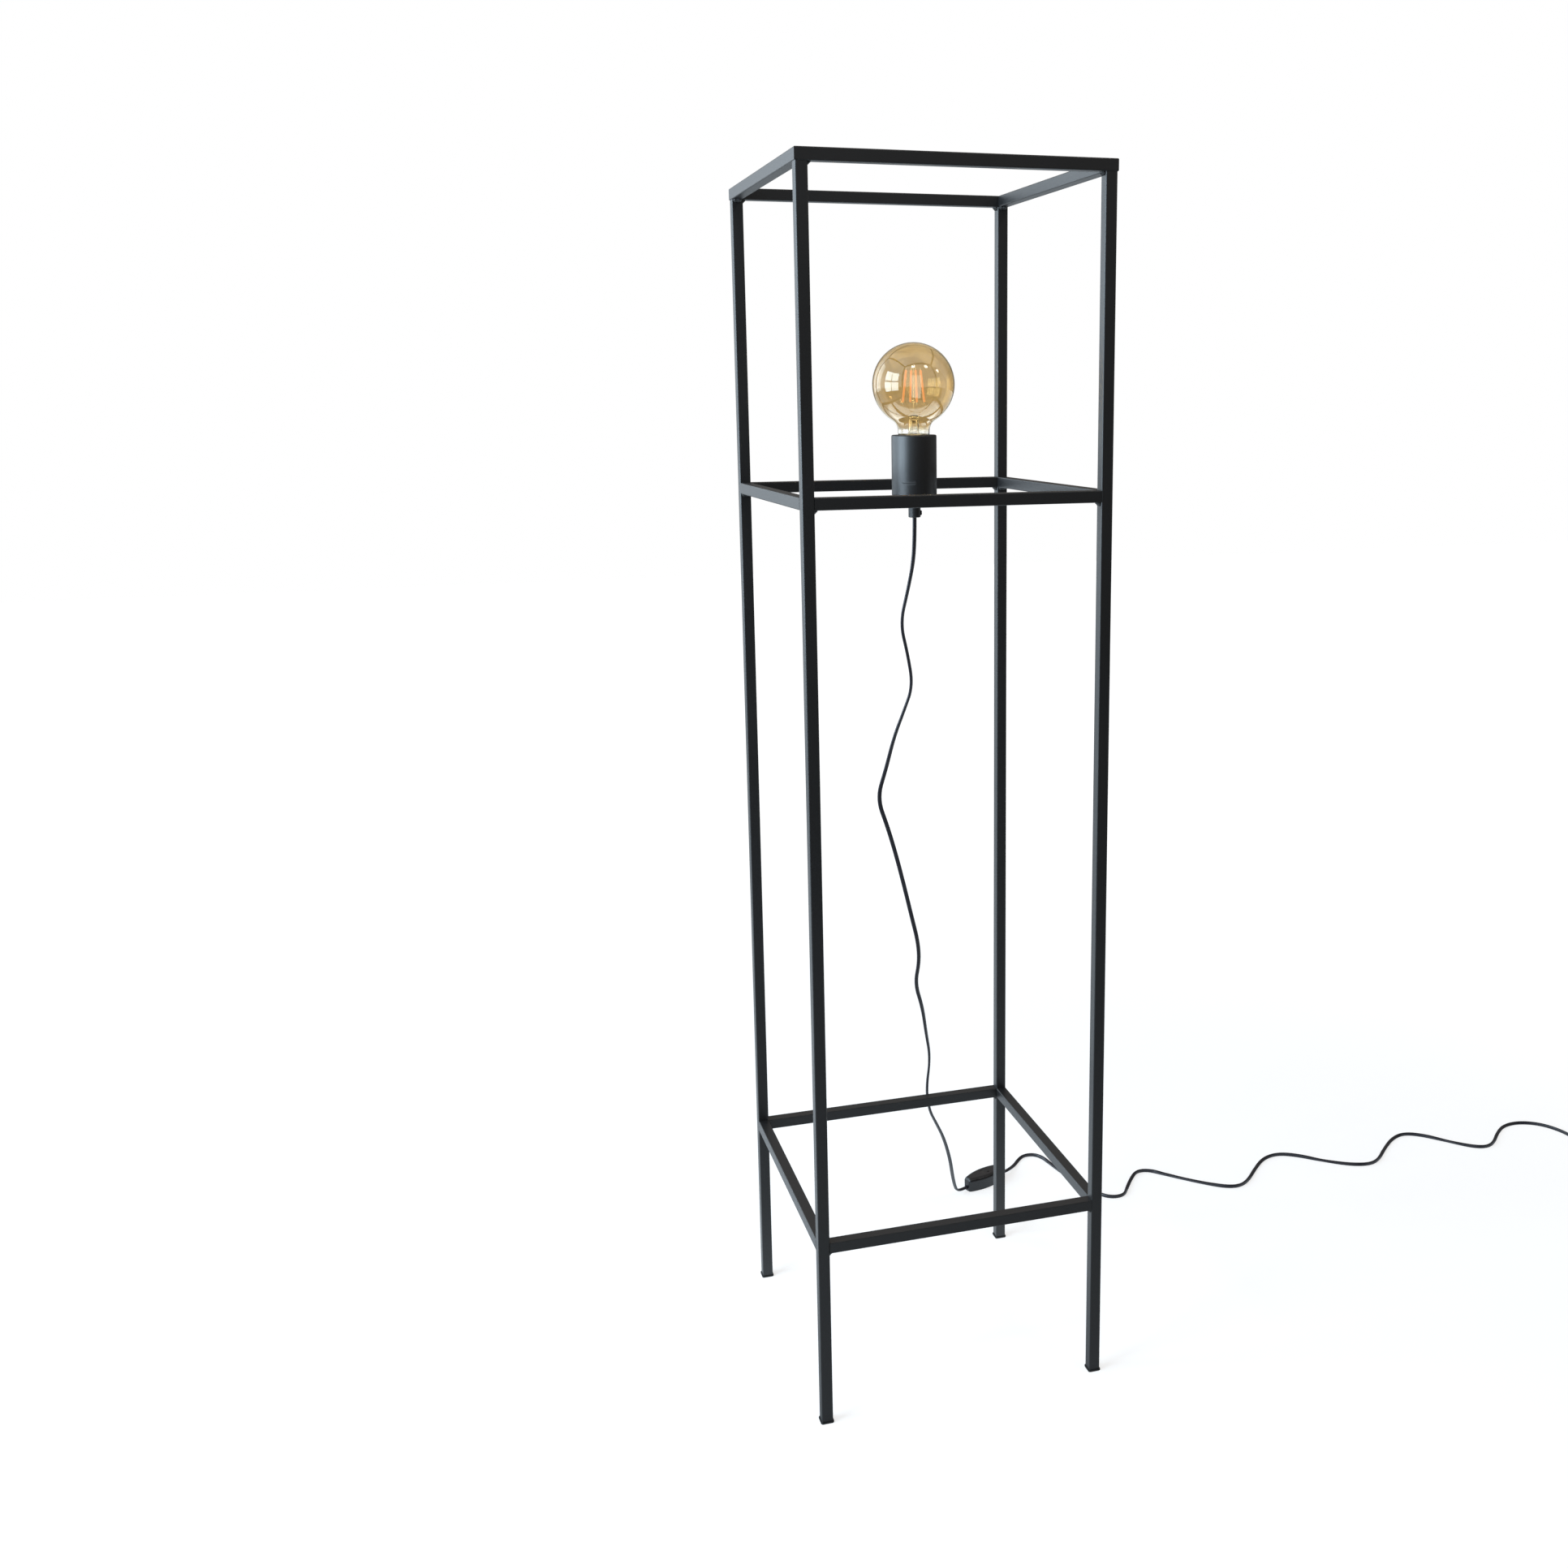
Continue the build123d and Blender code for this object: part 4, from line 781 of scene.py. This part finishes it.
# ---------------------------------------------------------------------------- the bulb's glass
# Globe blown from thin glass, 95 mm across, tinted amber on the globe and running out to
# clear glass in the short neck.
globe_centre, globe_radius = 1.1883, 0.0476
neck_radius, neck_fillet, glass_wall = 0.0184, 0.014, 0.0008
neck_mouth = 0.0132
neck_heel = neck_radius - neck_mouth
cap_top = 1.1289
heel_height = cap_top - glass_wall + neck_heel


def glass_profile(depth):
    """The bulb's outline a given depth inside its outer surface, from its top to its mouth.

    The globe is a circle, the neck a straight side, and a hollow arc touches both. The heel
    under the neck is a quarter circle that ends at the mouth.
    """
    fillet_x = neck_radius + neck_fillet
    drop = math.sqrt((globe_radius + neck_fillet) ** 2 - fillet_x ** 2)
    lean = math.degrees(math.atan2(drop, fillet_x))
    small = neck_heel - depth
    return np.concatenate([
        arc((0.0, globe_centre), globe_radius - depth, 90, -lean, 76),
        arc((fillet_x, globe_centre - drop), neck_fillet + depth, 180 - lean, 180, 14)[1:],
        arc((neck_mouth, heel_height), small, 0, -90, 9),
    ])


def amber_glass():
    """Clear glass whose tint goes from amber on the globe to none in the neck, by height."""
    finish = Finish(bpy.data.materials.new("amber_glass"))
    place = finish.node("ShaderNodeTexCoord", output="Object")
    height = finish.parts(place)[2]
    streak = noise(finish, place, 26.0, 2.0)
    tinted = (height + 0.004 * (streak - 0.5)).above(1.1330, 1.1450)
    amber = finish.blend(streak, (0.740, 0.598, 0.362), (0.790, 0.655, 0.412))
    return skin(finish, {
        "Base Color": finish.blend(tinted, (0.885, 0.880, 0.840), amber),
        "Roughness": 0.0, "IOR": 1.47, "Transmission Weight": 1.0,
        "Normal": bump(finish, streak, 0.00025, 0.08)},
        volume={"Color": (0.55, 0.50, 0.42, 1.0), "Density": 110.0})


outside, inside = glass_profile(0.0), glass_profile(glass_wall)
globe = turned_piece("globe", np.concatenate([outside, inside[::-1]])[::-1], amber_glass(),
                     "amber_glass", body="bulb", segments=192, loop=False)
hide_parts("bulb_glass")


# ---------------------------------------------------------------------------- the bulb's cap
# Screw cap pressed from nickel-plated brass, with one continuous rolled thread, a black glass
# cone under it and a solder dot at its tip.
cap_tip, cap_pitch = 1.100, 0.003629
cap_root, cap_crest, cap_sheet = 0.0121, 0.0131, 0.0005
cap_foot = cap_tip + 0.0044


def cap_surface(segments=120, rows=150):
    """Outer wall with its thread, then a plain inner wall back down to where it began.

    The radius is the root plus half the thread's depth times one minus the cosine of height
    over pitch less angle over a full turn, so it climbs one pitch a turn. The thread fades in
    at the bottom and runs into the plain collar at the top.
    """
    height = np.linspace(cap_foot, cap_top, rows)[:, None]
    angle = np.arange(segments)[None, :] * 2 * math.pi / segments
    wave = 0.5 - 0.5 * np.cos(2 * math.pi * (height - cap_tip) / cap_pitch - angle)
    fade_in = np.clip((height - cap_tip - 0.0046) / 0.0015, 0, 1)
    fade_out = np.clip((cap_top - 0.0062 - height) / 0.0015, 0, 1)
    collar = np.clip((height - cap_top + 0.0075) / 0.0014, 0, 1)
    radius = cap_root + (cap_crest - cap_root) * np.maximum(wave * (fade_in * fade_out), collar)
    radius = np.r_[radius, np.full((2, segments), cap_root - cap_sheet)]
    height = np.r_[np.broadcast_to(height, (rows, segments)),
                   np.full((1, segments), cap_top), np.full((1, segments), cap_foot)]
    points = np.stack([radius * np.cos(angle), radius * np.sin(angle), height], axis=2)
    return points.reshape(-1, 3), grid_faces(rows + 2, segments, rows_close=True)


nickel = bare_metal("nickel_plate", (0.52, 0.50, 0.46), (0.70, 0.68, 0.63), 0.22)
cap_points, cap_faces = cap_surface()
cap = new_piece("screw_cap", cap_points, cap_faces, nickel, "bulb", "cap_metal")
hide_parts("bulb_cap")
black_glass = moulded("black_glass", (0.010, 0.010, 0.013), (0.018, 0.018, 0.022),
                      0.12, 0.0010, 0.00001)
dress(black_glass, "bulb_insulator")
solder = bare_metal("solder", (0.46, 0.47, 0.48), (0.66, 0.66, 0.66), 0.36, 500.0)
dress(solder, "bulb_tip_contact")


# ---------------------------------------------------------------------------- the stem
# A clear glass tube that stands in the bulb, flared on to the cap at its foot and pinched
# flat at its top round the wires.
def clear_glass():
    """Clear stem glass with slow waves in its surface."""
    finish = Finish(bpy.data.materials.new("clear_glass"))
    place = finish.node("ShaderNodeTexCoord", output="Object")
    wave = noise(finish, place, 190.0, 2.0)
    return skin(finish, {
        "Base Color": finish.blend(wave, (0.965, 0.97, 0.95), (1.0, 1.0, 0.99)),
        "Roughness": 0.02, "IOR": 1.5, "Transmission Weight": 1.0,
        "Normal": bump(finish, wave, 0.0005, 0.5)},
        volume={"Color": (0.60, 0.58, 0.52, 1.0), "Density": 60.0})


stem_top, stem_radius, stem_wall, stem_rim = 1.1540, 0.0058, 0.0008, 0.0130
shoulder, inner_shoulder, closed_bore = 0.0030, 0.0024, 0.00001
stem_flare = stem_rim - stem_radius
flare_top = cap_top + stem_wall + stem_flare
stem_profile = np.concatenate([
    arc((stem_rim, flare_top), stem_flare, 270, 180, 14),
    arc((stem_radius - shoulder, stem_top - 0.0034), shoulder, 0, 62, 8),
    [(0.0024, stem_top - 0.0002), (0.0010, stem_top), (closed_bore, stem_top)],
    [(closed_bore, stem_top - 0.0036), (0.0014, stem_top - 0.0037)],
    arc((stem_radius - stem_wall - inner_shoulder, stem_top - 0.0062), inner_shoulder, 80, 0, 8),
    arc((stem_rim, flare_top), stem_flare + stem_wall, 180, 270, 14),
])
stem = turned_piece("stem", stem_profile, clear_glass(), "clear_glass", body="bulb", segments=72)

# The pinch grows with the height: it halves the tube's depth and widens it a little.
stem_points = np.empty(len(stem.data.vertices) * 3)
stem.data.vertices.foreach_get("co", stem_points)
stem_points = stem_points.reshape(-1, 3)
pinch = np.clip((stem_points[:, 2] - stem_top + 0.0075) / 0.0060, 0, 1)
stem_points[:, 1] *= 1 - 0.55 * pinch
stem_points[:, 0] *= 1 + 0.08 * pinch
stem.data.vertices.foreach_set("co", stem_points.ravel())
stem.data.update()
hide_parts("bulb_stem")


# ---------------------------------------------------------------------------- the filaments
# Four straight sticks that lean together round the axis: glass rods with bare metal ends under
# an orange silicone coat, which is beaded. Its faint glow is painted light, as the bulb is off.
filament_low, filament_high = 1.1656, 1.2070
spread_low, spread_high = 0.0134, 0.0084
rod_radius, coat_radius, bead_swell, bead_count = 0.00055, 0.00125, 0.00005, 26


def round_tube(path, radii, around=12):
    """Rings of a round tube along a path, with a closing point at each end.

    Every ring is square to the path and keeps the same two side directions, which are made
    from one fixed direction, since these paths hardly turn.
    """
    path = np.asarray(path, float)
    along = np.gradient(path, axis=0)
    along /= np.linalg.norm(along, axis=1)[:, None]
    fixed = np.array([0.31, 0.95, 0.05])
    side = fixed - (along @ fixed)[:, None] * along
    side /= np.linalg.norm(side, axis=1)[:, None]
    other = np.cross(along, side)
    angle = np.arange(around) * 2 * math.pi / around
    radii = np.broadcast_to(radii, len(path))[:, None, None]
    rings = path[:, None] + radii * (np.cos(angle)[None, :, None] * side[:, None]
                                     + np.sin(angle)[None, :, None] * other[:, None])
    points = np.r_[rings.reshape(-1, 3), path[:1], path[-1:]]
    faces = grid_faces(len(path), around).tolist()
    first, last = len(path) * around, len(path) * around + 1
    final = (len(path) - 1) * around
    faces += [[first, (k + 1) % around, k] for k in range(around)]
    faces += [[last, final + k, final + (k + 1) % around] for k in range(around)]
    return points, faces


def at_quarter_turns(radius, height):
    """Four points round the lamp's axis, a quarter turn apart."""
    angle = np.radians([0, 90, 180, 270])
    return np.c_[radius * np.cos(angle), radius * np.sin(angle), np.full(4, height)]


def coated_stick(low, high, rings=90, around=16):
    """A filament stick: bare round ends, then a coat whose radius waves with its beads.

    The coat rises from the rod's radius to its own over a fiftieth of the length, and its
    beads add a cosine along the stick. The last tips are rounded by a square root.
    """
    share = np.linspace(0, 1, rings)
    coat = np.clip(np.minimum(share - 0.055, 0.945 - share) / 0.02, 0, 1)
    beads = coat_radius + bead_swell * np.cos(2 * math.pi * share * bead_count)
    tips = np.sqrt(np.clip(np.minimum(share, 1 - share) / 0.012, 0.04, 1))
    radii = (rod_radius + coat * (beads - rod_radius)) * tips
    return round_tube(low + share[:, None] * (high - low), radii, around)


def filament_coat_and_painted_glow():
    """Orange silicone over the rod between bare ends, brighter at the beads, with a faint painted
    glow though the bulb is off.
    """
    finish = Finish(bpy.data.materials.new("filament_coat_and_painted_glow"))
    place = finish.node("ShaderNodeTexCoord", output="Object")
    height = finish.parts(place)[2]
    coated = height.above(1.1675, 1.1681) * (1 - height.above(1.2046, 1.2052))
    cells = noise(finish, place, 700.0, 2.0)
    orange = finish.blend(cells, (1.0, 0.46, 0.20), (1.0, 0.60, 0.32))
    return skin(finish, {
        "Base Color": finish.blend(coated, (0.62, 0.60, 0.56), orange),
        "Metallic": 1 - coated, "Roughness": 0.34 + 0.2 * cells,
        # The emission is a painted glow: the bulb is off, so the coat gives no light of its own.
        "Emission Color": finish.blend(coated, (0.0, 0.0, 0.0), (1.0, 0.50, 0.28)),
        "Emission Strength": 0.80})


low_ends = at_quarter_turns(spread_low, filament_low)
high_ends = at_quarter_turns(spread_high, filament_high)
sticks = joined([coated_stick(low, high) for low, high in zip(low_ends, high_ends)])
filaments = new_piece("filament_sticks", *sticks, filament_coat_and_painted_glow(), "bulb", "filament")
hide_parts("bulb_filaments")


# ---------------------------------------------------------------------------- the lead wires
# Thin nickel wire: a stay from the pinch up to a crown over the sticks, leads from both to the
# ends of each stick, and two thicker wires down through the pinch into the stem.
lead_radius, stay_radius, stem_wire_radius = 0.00022, 0.00024, 0.00028
wire_sides = 8


def lead(start, end, sag):
    """A thin lead between two points, bowed sideways by a parabola of the given sag."""
    share = np.linspace(0, 1, 16)[:, None]
    outward = np.array([end[0], end[1], 0.0])
    outward /= np.linalg.norm(outward)
    bow = outward * sag * 4 * share * (1 - share)
    return round_tube(start + share * (end - start) + bow, lead_radius, wire_sides)


pinch_point = np.array([0.0, 0.0, stem_top - 0.0004])
crown = np.array([0.0, 0.0, filament_high + 0.003])
wires = []
for low in low_ends:
    beside_pinch = 0.0012 * low / np.linalg.norm(low[:2]) * (1, 1, 0)
    wires.append(lead(pinch_point + beside_pinch, low + (0, 0, 0.0006), 0.0009))
wires += [lead(crown, high - (0, 0, 0.0004), 0.0004) for high in high_ends]
wires.append(round_tube(np.linspace(pinch_point, crown, 12), stay_radius, wire_sides))
for side in (-1, 1):
    through_pinch = [(side * 0.0016, 0, stem_top - 0.0008), (side * 0.0020, 0, stem_top - 0.0060),
                     (side * 0.0032, 0, stem_top - 0.0120), (side * 0.0046, 0, cap_top + 0.0060)]
    wires.append(round_tube(through_pinch, stem_wire_radius, wire_sides))
leads = new_piece("lead_wires", *joined(wires), nickel, "bulb", "cap_metal")
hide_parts("bulb_lead_wires")


# ---------------------------------------------------------------------------- the switch
# Inline switch in two black moulded shells, screwed together round the cord, with a glossier
# rocker in the upper one.
switch_plastic = moulded("black_switch_shell", (0.0080, 0.0082, 0.0095),
                         (0.0140, 0.0140, 0.0155), 0.30, 0.0005, 0.00003)
dress(switch_plastic, "switch_base", "switch_cover")
rocker_plastic = moulded("black_rocker", (0.0100, 0.0100, 0.0110), (0.0160, 0.0160, 0.0170),
                         0.24, 0.0008, 0.00001)
dress(rocker_plastic, "switch_rocker")


# ---------------------------------------------------------------------------- the plug
# Flat two-pin plug moulded in black on the cord's end, with a ribbed relief behind it and
# insulating sleeves on its brass pins.
plug_plastic = moulded("black_plug", (0.0075, 0.0077, 0.0085), (0.0135, 0.0135, 0.0145),
                       0.38, 0.0006, 0.00003)
dress(plug_plastic, "plug_relief", "plug_body", "plug_pin_sleeves")
